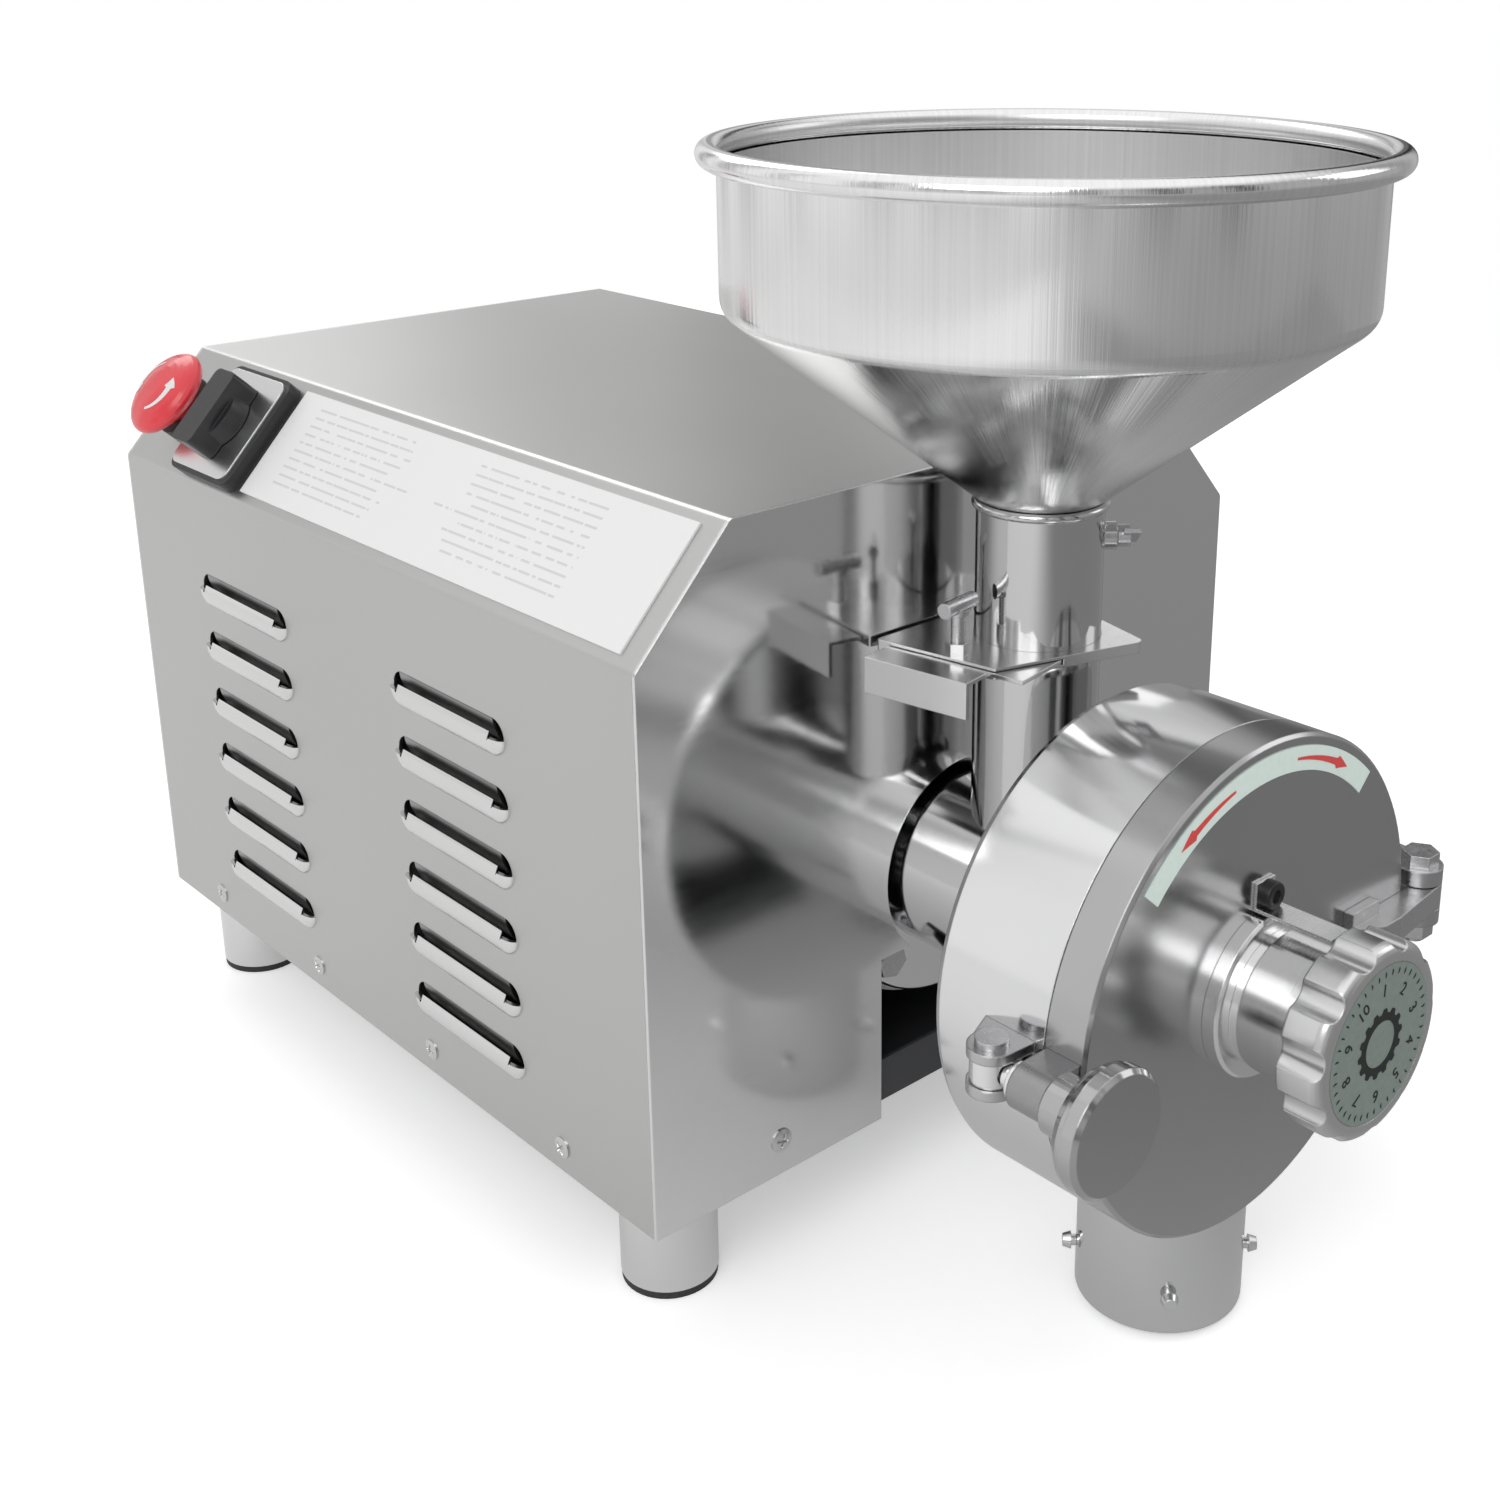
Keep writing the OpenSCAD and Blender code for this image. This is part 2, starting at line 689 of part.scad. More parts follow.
module windings() {
    color([0.72, 0.42, 0.2]) in_frame() for (f = [-frame_end + core_rear - 18, -frame_y - core_front])
        forward(f) rotate_extrude() polygon(rounded([[rotor_r + 4, 0], [rotor_r + 20, 0],
            [rotor_r + 20, 18], [rotor_r + 4, 18]], [4, 4, 4, 4]));
}

module bearings() {
    color([0.7, 0.7, 0.72]) in_frame() for (y = [bearing_y1, bearing_y2])
        mill_turn([[shaft_r + run_fit, -y], [shaft_r + 4, -y], [shaft_r + 4, -y - 1.5], [bearing_r - 4, -y - 1.5],
            [bearing_r - 4, -y], [bearing_r, -y], [bearing_r, -y - bearing_w],
            [shaft_r + run_fit, -y - bearing_w]]);
}

module shaft_seal() {
    color([0.15, 0.1, 0.1]) in_frame() forward(-flange_in + 0.5) ring(19.95, shaft_r + run_fit, 7);
}

module motor_shaft() {
    f2 = turn_f + disc_t;
    y1 = bearing_y1 + bearing_w + free_gap;
    y2 = bearing_y2 - free_gap;
    color([0.66, 0.66, 0.68]) in_frame() {
        mill_turn([[0, -shaft_end], [shaft_r - 1, -shaft_end], [shaft_r, -shaft_end + 1],
            [shaft_r, -y2], [shaft_r + 3.5, -y2], [shaft_r + 3.5, -y1],
            [shaft_r, -y1], [shaft_r, f2 + snug], [shaft_r + 3, f2 + snug],
            [shaft_r + 3, f2 + 5], [shaft_r - 4, f2 + 5], [shaft_r - 4, f2 + 9], [0, f2 + 9]]);
        forward(turn_f - 5) translate([-3, shaft_r - 2, 0]) cube([6, 4.5, disc_t + 4]);
    }
}

module rotor_core() {
    color([0.5, 0.5, 0.53]) in_frame() forward(-frame_end + core_rear) difference() {
        cylinder(r = rotor_r, h = core_len);
        translate([0, 0, -1]) cylinder(r = shaft_r + 3.5 + snug, h = motor_len);
    }
}

module cooling_fan() {
    f = -frame_end - fan_back;
    color([0.2, 0.2, 0.22]) in_frame() forward(f) difference() {
        union() {
            cylinder(r = 20, h = 17);
            cylinder(r = fan_r, h = 2.5);
            for (i = [0:8]) rotate(i * 40) translate([18, -1.2, 1]) cube([fan_r - 19, 2.4, 16]);
        }
        translate([0, 0, -1]) cylinder(r = shaft_r + snug, h = 20);
    }
}

// ---- barrel, drum and outlet

module flange_bolt_places() {
    for (i = [0:3]) forward(-flange_in - 12) rotate(45 + 90 * i) translate([flange_r - 9, 0, 0]) children();
}

module barrel() {
    ri = barrel_r - barrel_t;
    color([0.82, 0.82, 0.83]) in_frame() difference() {
        mill_turn([[20, -flange_in], [flange_r - 1, -flange_in], [flange_r, -flange_in + 1],
            [flange_r, -flange_in + flange_t - 1], [flange_r - 1, -flange_in + flange_t],
            [barrel_r, -flange_in + flange_t], [barrel_r, drum_in_f], [ri, drum_in_f],
            [ri, -flange_in + 9], [20, -flange_in + 9]]);
        translate([0, -feed_f, axis_z]) cylinder(r = feed_r - feed_t, h = barrel_r + 1);
        flange_bolt_places() cylinder(r = 4.2, h = 40);
    }
}

module flange_bolts() {
    color([0.6, 0.6, 0.62]) in_frame() flange_bolt_places() {
        cylinder(r = 4, h = 12 + flange_t + 1);
        translate([0, 0, 12 + flange_t]) cylinder(r = 7, h = 4, $fn = 6);
    }
}

module drum() {
    ri = drum_r - drum_t;
    color([0.84, 0.84, 0.85]) in_frame() difference() {
        union() {
            mill_turn([[barrel_r + snug, drum_f], [drum_r - 3, drum_f], [drum_r - 0.9, drum_f + 0.9],
                [drum_r, drum_f + 3], [drum_r, seam_f], [barrel_r + snug, seam_f]]);
            translate([0, -spout_f, spout_gap]) cylinder(r = spout_r, h = axis_z - spout_gap - drum_r + 20);
        }
        forward(drum_in_f) cylinder(r = ri, h = 80);
        forward(seam_f) cylinder(r = drum_r + 1, h = 80);
        translate([0, -spout_f, 0]) cylinder(r = spout_r - spout_t, h = axis_z - 60);
    }
}

module outlet_pins() {
    color([0.7, 0.7, 0.72]) in_frame() difference() {
        for (i = [0:3]) translate([0, -spout_f, pin_h]) rotate(45 + 90 * i) rotate([0, 90, 0]) {
            translate([0, 0, spout_r - 1]) cylinder(r = 2, h = pin_len - 1, $fn = 32);
            translate([0, 0, spout_r + pin_len - 3]) cylinder(r1 = 3.2, r2 = 2.3, h = 3, $fn = 32);
        }
        translate([0, -spout_f, 0]) cylinder(r = spout_r + snug, h = 2 * pin_h);
    }
}

// ---- feed tube, gate and hopper

module feed_tube() {
    low = axis_z - feed_top_z;
    color([0.8, 0.8, 0.81]) in_frame() difference() {
        union() {
            at_rim() translate([0, 0, low]) cylinder(r = feed_r, h = -low);
            at_rim() translate([0, 0, -feed_bead]) rotate_extrude() translate([feed_r, 0]) circle(r = feed_bead);
            at_rim() translate([0, 0, -wing_drop]) rotate([0, 90, wing_a]) cylinder(r = 5, h = feed_r + 4);
        }
        at_rim() translate([0, 0, low - 1]) cylinder(r = feed_r - feed_t, h = 4 - low);
        forward(0) cylinder(r = barrel_r + snug, h = 2 * feed_f);
        at_rim() translate([0, 0, -wing_drop]) rotate([0, 90, wing_a])
            cylinder(r = 2.5 + run_fit, h = feed_r + 10);
        at_gate() translate([-feed_r - 2, -feed_r + feed_t - 0.1, -blade_t / 2 - 0.25])
            cube([feed_r + 2, 2 * (feed_r - feed_t) + 0.2, blade_t + 0.5]);
    }
}

// The holder's rear edge runs parallel to the front panel.
function holder_rear(s) = (feed_f - holder_gap - s * sin(gate_a)) / cos(gate_a);

module gate_holder() {
    right = feed_r + 14;
    color([0.74, 0.74, 0.75]) in_frame() at_gate() difference() {
        union() {
            translate([0, 0, -holder_t / 2]) linear_extrude(holder_t) polygon(rounded([
                [13, -holder_front], [right, holder_rear(right) - 9], [right, holder_rear(right)],
                [-holder_left, holder_rear(-holder_left)], [-holder_left, -9]], [3, 4, 2, 1, 1]));
            translate([-holder_left + 6, 10, holder_t / 2 - 0.5]) cylinder(r = 4.5, h = 4.5, $fn = 6);
        }
        translate([0, 0, -10]) cylinder(r = feed_r + snug, h = 20);
        translate([-80, -feed_r + feed_t - 0.1, -blade_t / 2 - 0.25])
            cube([80, 2 * (feed_r - feed_t) + 0.2, blade_t + 0.5]);
        translate([-holder_left + 6, 10, 0]) cylinder(r = 2.5 + run_fit, h = 20);
    }
}

module gate_blade() {
    half = feed_r - feed_t - free_gap;
    tab_s = -holder_left - tab_out;
    color([0.8, 0.8, 0.8]) in_frame() at_gate() translate([0, 0, -blade_t / 2]) {
        linear_extrude(blade_t) {
            circle(r = half);
            translate([-holder_left - 1, -half]) square([holder_left + 1, 2 * half]);
            translate([tab_s, -tab_front]) square([tab_out - 0.6, tab_rear + tab_front]);
        }
        translate([tab_s - blade_t, -tab_front, blade_t - tab_h]) cube([blade_t + 0.1, tab_rear + tab_front, tab_h]);
    }
}

module gate_screw() {
    color([0.7, 0.7, 0.7]) in_frame() at_gate() translate([-holder_left + 6, 10, 0]) {
        tip = blade_t / 2 + free_gap;
        translate([0, 0, tip]) cylinder(r = 2.5, h = holder_t / 2 + gate_screw_h - tip);
        translate([0, 0, holder_t / 2 + gate_screw_h - 1]) cylinder(r = 4.2, h = 2);
        translate([-8.5, 0, holder_t / 2 + gate_screw_h + 2]) rotate([0, 90, 0]) cylinder(r = 2.8, h = 17);
    }
}

module hopper() {
    rs = feed_r - feed_t - free_gap;
    t = hopper_t;
    slant = t * (1 - cos(45)) + t * 0.3;
    color([0.84, 0.84, 0.85]) in_frame() at_rim() {
        rotate_extrude() polygon([[rs - t, 0], [rs + 1.4, 0], [hopper_r, cone_h],
            [hopper_r, cone_h + hopper_wall - rim_bead], [hopper_r - t, cone_h + hopper_wall - rim_bead],
            [hopper_r - t, cone_h + slant], [rs - t, t]]);
        translate([0, 0, cone_h + hopper_wall - rim_bead]) rotate_extrude()
            translate([hopper_r + rim_bead - t, 0]) circle(r = rim_bead, $fn = 32);
    }
}

// The short tube welded under the cone, which enters the feed tube.
module hopper_spigot() {
    rs = feed_r - feed_t - free_gap;
    color([0.84, 0.84, 0.85]) in_frame() at_rim() translate([0, 0, -spigot_len])
        ring(rs, rs - hopper_t, spigot_len);
}

module hopper_screw() {
    color([0.65, 0.65, 0.66]) in_frame() at_rim() translate([0, 0, -wing_drop]) rotate([0, 90, wing_a]) {
        r0 = feed_r - feed_t + 0.8;
        translate([0, 0, r0]) cylinder(r = 2.5, h = feed_r + 8 - r0);
        translate([0, 0, feed_r + 4 + free_gap]) cylinder(r = 4, h = 4.5);
        rotate(60) translate([-7, -0.9, feed_r + 6]) cube([14, 1.8, 6]);
    }
}

// ---- grinding discs and feed screw

// Teeth of one disc: a coarse inner ring and a fine outer ring, both set askew to the radius.
module disc_teeth() {
    split = 30 + (disc_r - 31) * 0.55;
    linear_extrude(tooth_h) {
        for (i = [0:teeth_in - 1]) rotate(i * 360 / teeth_in) translate([33, 6]) rotate(-14)
            square([split - 36, 4.5]);
        for (i = [0:teeth_out - 1]) rotate(i * 360 / teeth_out) translate([split + 2, 8]) rotate(-8)
            square([disc_r - split - 4, 2]);
    }
}

module turning_disc() {
    color([0.42, 0.42, 0.43]) in_frame() forward(turn_f) difference() {
        union() {
            cylinder(r = disc_r, h = disc_t);
            translate([0, 0, disc_t - 0.01]) intersection() {
                disc_teeth();
                ring(disc_r, 31, tooth_h);
            }
            translate([0, 0, -disc_free + 1]) cylinder(r = 20, h = disc_free);
        }
        translate([0, 0, -disc_free]) cylinder(r = shaft_r + snug, h = 40);
        translate([-3.05, 0, -6]) cube([6.1, shaft_r + 2.6, disc_t + 6]);
        for (i = [0:3]) rotate(45 + 90 * i) translate([26, 0, -1]) cylinder(r = 5, h = 20);
    }
}

module still_disc() {
    color([0.42, 0.42, 0.43]) in_frame() forward(still_f) {
        intersection() {
            mirror([1, 0, 0]) disc_teeth();
            ring(disc_r, 31, tooth_h);
        }
        translate([0, 0, tooth_h - 0.01]) ring(disc_r, 30, disc_t + 0.01);
    }
}

module guide_places() {
    for (i = [0:2]) rotate(90 + 120 * i) translate([44, 0, 0]) children();
}

module disc_carrier() {
    stem_end = boss_f - 4;
    color([0.6, 0.6, 0.62]) in_frame() forward(carrier_f) {
        cylinder(r = disc_r - 14, h = carrier_t);
        cylinder(r = stem_r, h = stem_end - carrier_f);
        guide_places() cylinder(r = 4, h = cover_in_f + cover_t - 2.5 - carrier_f);
    }
}

module feed_screw() {
    len = screw_f1 - screw_f0;
    color([0.6, 0.6, 0.61]) in_frame() forward(screw_f0) {
        ring(shaft_r + 3.5, shaft_r + snug, len);
        linear_extrude(len, twist = -360 * len / 32, slices = 48, $fn = 12)
            translate([shaft_r + 2.5, -2.5]) square([barrel_r - barrel_t - 0.7 - shaft_r - 2.5, 5]);
    }
}

// ---- front cover with its boss and adjuster

module front_cover() {
    color([0.86, 0.86, 0.87]) in_frame() difference() {
        mill_turn([[20 + snug, cover_in_f], [drum_r - drum_t, cover_in_f], [drum_r - drum_t, cover_f],
            [drum_r, cover_f], [drum_r, face_f - 1.2], [drum_r - 1.2, face_f], [20 + snug, face_f]]);
        forward(cover_in_f - 1) guide_places() cylinder(r = 4 + run_fit, h = cover_t - 0.7);
    }
}

module cover_boss() {
    b = spindle_r + run_fit;
    color([0.83, 0.83, 0.84]) in_frame() {
        mill_turn([[b, cover_in_f], [20, cover_in_f], [20, face_f], [collar_r, face_f],
            [collar_r, face_f + collar_len - 1], [collar_r - 1, face_f + collar_len],
            [boss_r - 1.5, face_f + collar_len], [boss_r - 1.5, face_f + collar_len + 3],
            [boss_r, face_f + collar_len + 4], [boss_r, boss_f], [b, boss_f]]);
        forward(boss_f - 6) rotate([90, 0, 0]) translate([0, 0, boss_r - 2]) cylinder(r = 2.5, h = 12);
    }
}

module adjust_spindle() {
    color([0.62, 0.62, 0.64]) in_frame()
        mill_turn([[stem_r + run_fit, cover_in_f - 4], [spindle_r + 4, cover_in_f - 4],
            [spindle_r + 4, cover_in_f - free_gap], [spindle_r, cover_in_f - free_gap],
            [spindle_r, nose_f - 1.5], [stem_r + run_fit, nose_f - 1.5]]);
}

module adjust_knob() {
    dip_r = 6.5;
    color([0.8, 0.8, 0.81]) in_frame() forward(knob_f) {
        difference() {
            rotate_extrude() polygon(rounded([[0, 0], [knob_r, 0], [knob_r, knob_len], [0, knob_len]],
                [0, 0.8, knob_round, 0]));
            for (i = [0:knob_n - 1]) rotate(90 + (i + 0.5) * 360 / knob_n)
                translate([knob_r - knob_dip + dip_r, 0, -1]) cylinder(r = dip_r, h = knob_len + 2, $fn = 48);
            translate([0, 0, -1]) cylinder(r = spindle_r + snug, h = knob_len + 2);
            translate([0, 0, knob_len - 1.1]) cylinder(r = dial_r + 0.1, h = 3);
        }
    }
}

module dial_plate() {
    color([0.53, 0.59, 0.56]) in_frame() forward(nose_f - 1.1) cylinder(r = dial_r, h = 1.1);
}

module arc_label() {
    color([0.85, 0.94, 0.9]) in_frame() forward(face_f) rotate(46) rotate_extrude(angle = 92)
        translate([drum_r - 12.5, 0]) square([8.5, 0.5]);
}

// An angled spring strip over the boss, its foot screwed to the cover's face.
module detent_strip() {
    z = collar_r + 0.8;
    color([0.7, 0.7, 0.71]) in_frame() forward(face_f) {
        translate([-5, z, 0]) cube([10, 1.2, boss_f - face_f - 1]);
        translate([-5, z, 0]) cube([10, 10, 1.2]);
        translate([0, z + 5.4, 1.2]) cylinder(r = 4.4, h = 3);
    }
}

// ---- hinge on the right, clamp on the left

module hinge_lug() {
    x0 = drum_r - 6;
    x1 = hinge_x + knuckle_r;
    x2 = hinge_x - knuckle_r;
    plate = (hinge_h - 10) / 2;
    color([0.76, 0.76, 0.77]) in_frame() difference() {
        for (z = [-hinge_h / 2, hinge_h / 2 - plate]) translate([0, 0, axis_z + z]) linear_extrude(plate) {
            translate([hinge_x, -hinge_f]) circle(r = knuckle_r);
            polygon([[x0, -seam_f + 31], [x1, -seam_f + 12], [x1, -hinge_f], [x2, -hinge_f],
                [x2, -seam_f + 2], [x0, -seam_f + 2]]);
        }
        forward(0) cylinder(r = drum_r + snug, h = 200);
        translate([hinge_x, -hinge_f, axis_z - 50]) cylinder(r = hinge_bolt_r + snug, h = 100);
    }
}

module hinge_arm() {
    mid = hinge_h - 2 * (hinge_h - 10) / 2 - 0.6;
    color([0.76, 0.76, 0.77]) in_frame() translate([0, 0, axis_z - mid / 2]) difference() {
        union() {
            linear_extrude(mid) {
                translate([hinge_x, -hinge_f]) circle(r = knuckle_r);
                polygon([[50, -face_f], [50, -face_f - 5], [60, -face_f - 11], [70, -face_f - 11],
                    [hinge_x, -hinge_f - knuckle_r], [hinge_x, -hinge_f], [drum_r, -face_f]]);
            }
            translate([50, -face_f - 4, mid / 2 - 10]) cube([16, 4, 20]);
        }
        translate([hinge_x, -hinge_f, -1]) cylinder(r = hinge_bolt_r + run_fit, h = mid + 2);
    }
}

module hinge_bolt() {
    color([0.6, 0.6, 0.62]) in_frame() translate([hinge_x, -hinge_f, axis_z]) {
        translate([0, 0, -hinge_h / 2 - 8]) cylinder(r = hinge_bolt_r, h = hinge_h + 9);
        translate([0, 0, hinge_h / 2]) cylinder(r = 1.7 * hinge_bolt_r, h = 5, $fn = 6);
        translate([0, 0, -hinge_h / 2 - 6]) cylinder(r = 1.7 * hinge_bolt_r, h = 6, $fn = 6);
    }
}

module clamp_lug() {
    x0 = drum_r - 6;
    x1 = clamp_x + 8;
    cheek = (lug_h - eye_h) / 2 - 0.2;
    color([0.7, 0.7, 0.71]) in_frame() difference() {
        for (z = [-lug_h / 2, lug_h / 2 - cheek]) translate([0, 0, axis_z + z]) linear_extrude(cheek) {
            translate([-clamp_x, -clamp_f]) circle(r = 8);
            polygon([[-x0, -clamp_f + 15], [-clamp_x, -clamp_f + 8], [-clamp_x, -clamp_f - 8], [-x0, -clamp_f - 9]]);
        }
        forward(0) cylinder(r = drum_r + snug, h = 200);
        translate([-clamp_x, -clamp_f, axis_z - 50]) cylinder(r = clamp_pin_r + snug, h = 100);
    }
}

module clamp_pin() {
    color([0.6, 0.6, 0.62]) in_frame() translate([-clamp_x, -clamp_f, axis_z]) {
        translate([0, 0, -lug_h / 2 - 2]) cylinder(r = clamp_pin_r, h = lug_h + 3);
        translate([0, 0, lug_h / 2]) cylinder(r = 5.5, h = 2.6);
    }
}

// The swivel turns on the pin, and its cross bore faces the clamp screw's end.
module clamp_swivel() {
    color([0.66, 0.66, 0.68]) in_frame() translate([-clamp_x, -clamp_f, axis_z]) difference() {
        translate([0, 0, -eye_h / 2]) cylinder(r = eye_r, h = eye_h);
        translate([0, 0, -20]) cylinder(r = clamp_pin_r + run_fit, h = 40);
        rotate([90, 0, 0]) cylinder(r = screw_r - 0.5, h = 20);
    }
}

// The clamp screw runs in the cover's lug, held by a ring behind it.
module clamp_screw() {
    f0 = clamp_f + eye_r + free_gap;
    color([0.66, 0.66, 0.68]) in_frame() translate([-clamp_x, -f0, axis_z]) rotate([90, 0, 0]) {
        cylinder(r = screw_r, h = nut_f + nut_len - 4 - f0);
        translate([0, 0, arm_f - free_gap - 2 - f0]) cylinder(r = screw_r + 2.5, h = 2);
    }
}

// The clamp knob: a hub that flares to a round, polished face.
module clamp_nut() {
    len = nut_len;
    b = screw_r + snug;
    color([0.85, 0.85, 0.86]) in_frame() translate([-clamp_x, -nut_f - free_gap, axis_z]) rotate([90, 0, 0])
        rotate_extrude() polygon([[b, 0], [9, 0], [10, 1], [10, len - 14], [nut_r - 3, len - 11],
            [nut_r - 0.6, len - 8], [nut_r, len - 6], [nut_r, len - 1.5], [nut_r - 1.5, len],
            [0, len], [0, len - 3.5], [b, len - 3.5]]);
}

module clamp_arm() {
    color([0.5, 0.5, 0.51]) in_frame() difference() {
        forward(arm_f) linear_extrude(nut_f - arm_f) {
            translate([-clamp_x, 0]) circle(d = lug_h);
            translate([-clamp_x, -lug_h / 2]) square([clamp_x - drum_r + 6, lug_h]);
        }
        forward(0) cylinder(r = drum_r + snug, h = 200);
        forward(0) translate([-clamp_x, 0, 0]) cylinder(r = screw_r + run_fit, h = 200);
    }
}

// ---- the part

base_tray();
foot_tubes();
foot_pads();
foot_bolts();
housing_wrap();
louvre_lips();
front_panel();
rear_panel();
label_plate();
stop_collar();
stop_button();
switch_body();
switch_plate();
switch_grip();
cable_gland();
capacitor();
motor_cradle();
motor_frame();
bell_front();
bell_rear();
stator_core();
windings();
bearings();
shaft_seal();
barrel();
flange_bolts();
feed_tube();
gate_holder();
gate_blade();
gate_screw();
hopper();
hopper_spigot();
hopper_screw();
drum();
outlet_pins();
hinge_lug();
hinge_bolt();
clamp_lug();
clamp_pin();
clamp_swivel();
clamp_nut();
clamp_screw();
front_cover();
cover_boss();
hinge_arm();
clamp_arm();
arc_label();
detent_strip();
adjust_knob();
dial_plate();
adjust_spindle();
disc_carrier();
still_disc();
turning_disc();
feed_screw();
motor_shaft();
rotor_core();
cooling_fan();
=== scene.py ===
import math

import bmesh
import bpy
import numpy as np
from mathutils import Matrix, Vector


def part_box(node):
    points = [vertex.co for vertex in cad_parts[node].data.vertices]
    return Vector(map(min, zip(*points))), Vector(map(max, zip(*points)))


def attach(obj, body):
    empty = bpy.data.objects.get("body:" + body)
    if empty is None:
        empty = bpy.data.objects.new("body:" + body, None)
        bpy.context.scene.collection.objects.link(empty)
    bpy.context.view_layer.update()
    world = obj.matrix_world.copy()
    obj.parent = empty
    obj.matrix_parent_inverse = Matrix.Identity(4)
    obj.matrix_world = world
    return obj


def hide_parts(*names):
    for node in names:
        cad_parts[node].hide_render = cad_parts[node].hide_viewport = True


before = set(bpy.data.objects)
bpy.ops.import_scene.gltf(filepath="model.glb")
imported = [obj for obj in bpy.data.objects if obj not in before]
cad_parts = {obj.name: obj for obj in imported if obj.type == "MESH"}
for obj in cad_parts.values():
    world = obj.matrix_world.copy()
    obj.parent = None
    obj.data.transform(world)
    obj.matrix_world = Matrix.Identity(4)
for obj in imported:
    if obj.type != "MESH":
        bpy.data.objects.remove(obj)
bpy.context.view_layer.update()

# Floor and backdrop
# A white sweep of board under the mill, and an even white room behind it. The room is bright
# overhead and has soft dark stands round it, which polished steel shows as upright streaks.


class Wire:
    """One output socket. Arithmetic on it adds Math nodes to the same node tree."""

    def __init__(self, bench, socket):
        self.bench, self.socket = bench, socket

    def _with(self, operation, *values):
        return self.bench.node("Math", {"operation": operation}, *values)

    def __add__(self, other):
        return self._with("ADD", self, other)

    def __sub__(self, other):
        return self._with("SUBTRACT", self, other)

    def __rsub__(self, other):
        return self._with("SUBTRACT", other, self)

    def __mul__(self, other):
        return self._with("MULTIPLY", self, other)

    def __gt__(self, other):
        return self._with("GREATER_THAN", self, other)

    def __lt__(self, other):
        return self._with("LESS_THAN", self, other)

    __radd__, __rmul__ = __add__, __mul__


class Bench:
    """A node tree to work on. node() adds any node: its settings first, then its sockets."""

    def __init__(self, tree):
        self.tree = tree

    def node(self, kind, settings=None, *values, out=0, **named):
        made = self.tree.nodes.new("ShaderNode" + kind)
        for key, value in (settings or {}).items():
            if key == "stops":
                ramp = made.color_ramp.elements
                while len(ramp) < len(value):
                    ramp.new(0.5)
                for stop, (place, shade) in zip(ramp, value):
                    stop.position, stop.color = place, (shade, shade, shade, 1)
            else:
                setattr(made, key, value)
        for key, value in [*enumerate(values), *named.items()]:
            if value is None:
                continue
            self.feed(made.inputs[key if isinstance(key, int) else key.replace("_", " ")], value)
        return Wire(self, made.outputs[out])

    def feed(self, socket, value):
        """Links a wire to the socket, or sets the socket to a plain value."""
        if isinstance(value, Wire):
            self.tree.links.new(value.socket, socket)
        else:
            socket.default_value = value


class Finish(Bench):
    """A material for one finish. own names sockets of the shader that are the same all over."""

    def __init__(self, name, colour, roughness, metallic=0.0, **own):
        self.data = bpy.data.materials.new(name)
        self.data.use_nodes = True
        super().__init__(self.data.node_tree)
        self.shader = self.tree.nodes["Principled BSDF"]
        self.set(Base_Color=(*colour, 1), Roughness=roughness, Metallic=metallic, **own)

    def set(self, **named):
        for key, value in named.items():
            self.feed(self.shader.inputs[key.replace("_", " ")], value)

    def place(self, x=1.0, y=1.0, z=1.0):
        """The point on the piece in metres, each axis multiplied by its own number."""
        here = self.node("TexCoord", out="Object")
        return self.node("Mapping", {}, Vector=here, Scale=(x, y, z))

    def noise(self, place, scale=1.0, detail=2.0, rough=0.5):
        return self.node("TexNoise", {}, Vector=place, Scale=scale, Detail=detail, Roughness=rough)

    def shade(self, amount, low, high):
        """Base Color between two colours, by an amount from 0 to 1."""
        mixed = self.node("Mix", {"data_type": "RGBA"}, out=2, Factor=amount)
        for socket, colour in zip(mixed.socket.node.inputs[6:8], (low, high)):
            socket.default_value = (*colour, 1)
        self.set(Base_Color=mixed)
        return mixed

    def relief(self, height, strength, distance, edge=0.0):
        """Fine relief in the normal. edge is the radius of the eased edges, in metres."""
        under = self.node("Bevel", {"samples": 4}, Radius=edge) if edge else None
        self.set(Normal=self.node("Bump", {}, Strength=strength, Distance=distance,
                                  Height=height, Normal=under))

    def grained(self, stretch, detail, spread, low, strength, distance, edge=0.0):
        """Fine noise that lifts the roughness from low by up to spread, and stands in relief."""
        fine = self.noise(self.place(*stretch), detail=detail)
        self.set(Roughness=fine * spread + low)
        self.relief(fine, strength, distance, edge)

    def mottled(self, stretch, detail, low, high, strength, distance, edge=0.0):
        """Fine noise that moves the colour between low and high, and stands in relief."""
        fine = self.noise(self.place(*stretch), detail=detail)
        self.shade(fine, low, high)
        self.relief(fine, strength, distance, edge)


def surface(name, points, faces, finish, body, slot=None, crease=35.0, close=True):
    """A new piece from arrays of points and faces, merged, turned outward and made smooth
    apart from edges sharper than crease degrees."""
    mesh = bpy.data.meshes.new(name)
    mesh.from_pydata(np.asarray(points, float).reshape(-1, 3).tolist(), [],
                     [list(map(int, face)) for face in faces])
    if close:
        work = bmesh.new()
        work.from_mesh(mesh)
        bmesh.ops.remove_doubles(work, verts=work.verts, dist=1e-6)
        bmesh.ops.recalc_face_normals(work, faces=work.faces)
        work.to_mesh(mesh)
        work.free()
    mesh.shade_smooth()
    mesh.set_sharp_from_angle(angle=math.radians(crease))
    mesh.materials.append(finish.data)
    piece = bpy.data.objects.new(name, mesh)
    bpy.context.scene.collection.objects.link(piece)
    if body:
        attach(piece, body)
    return piece


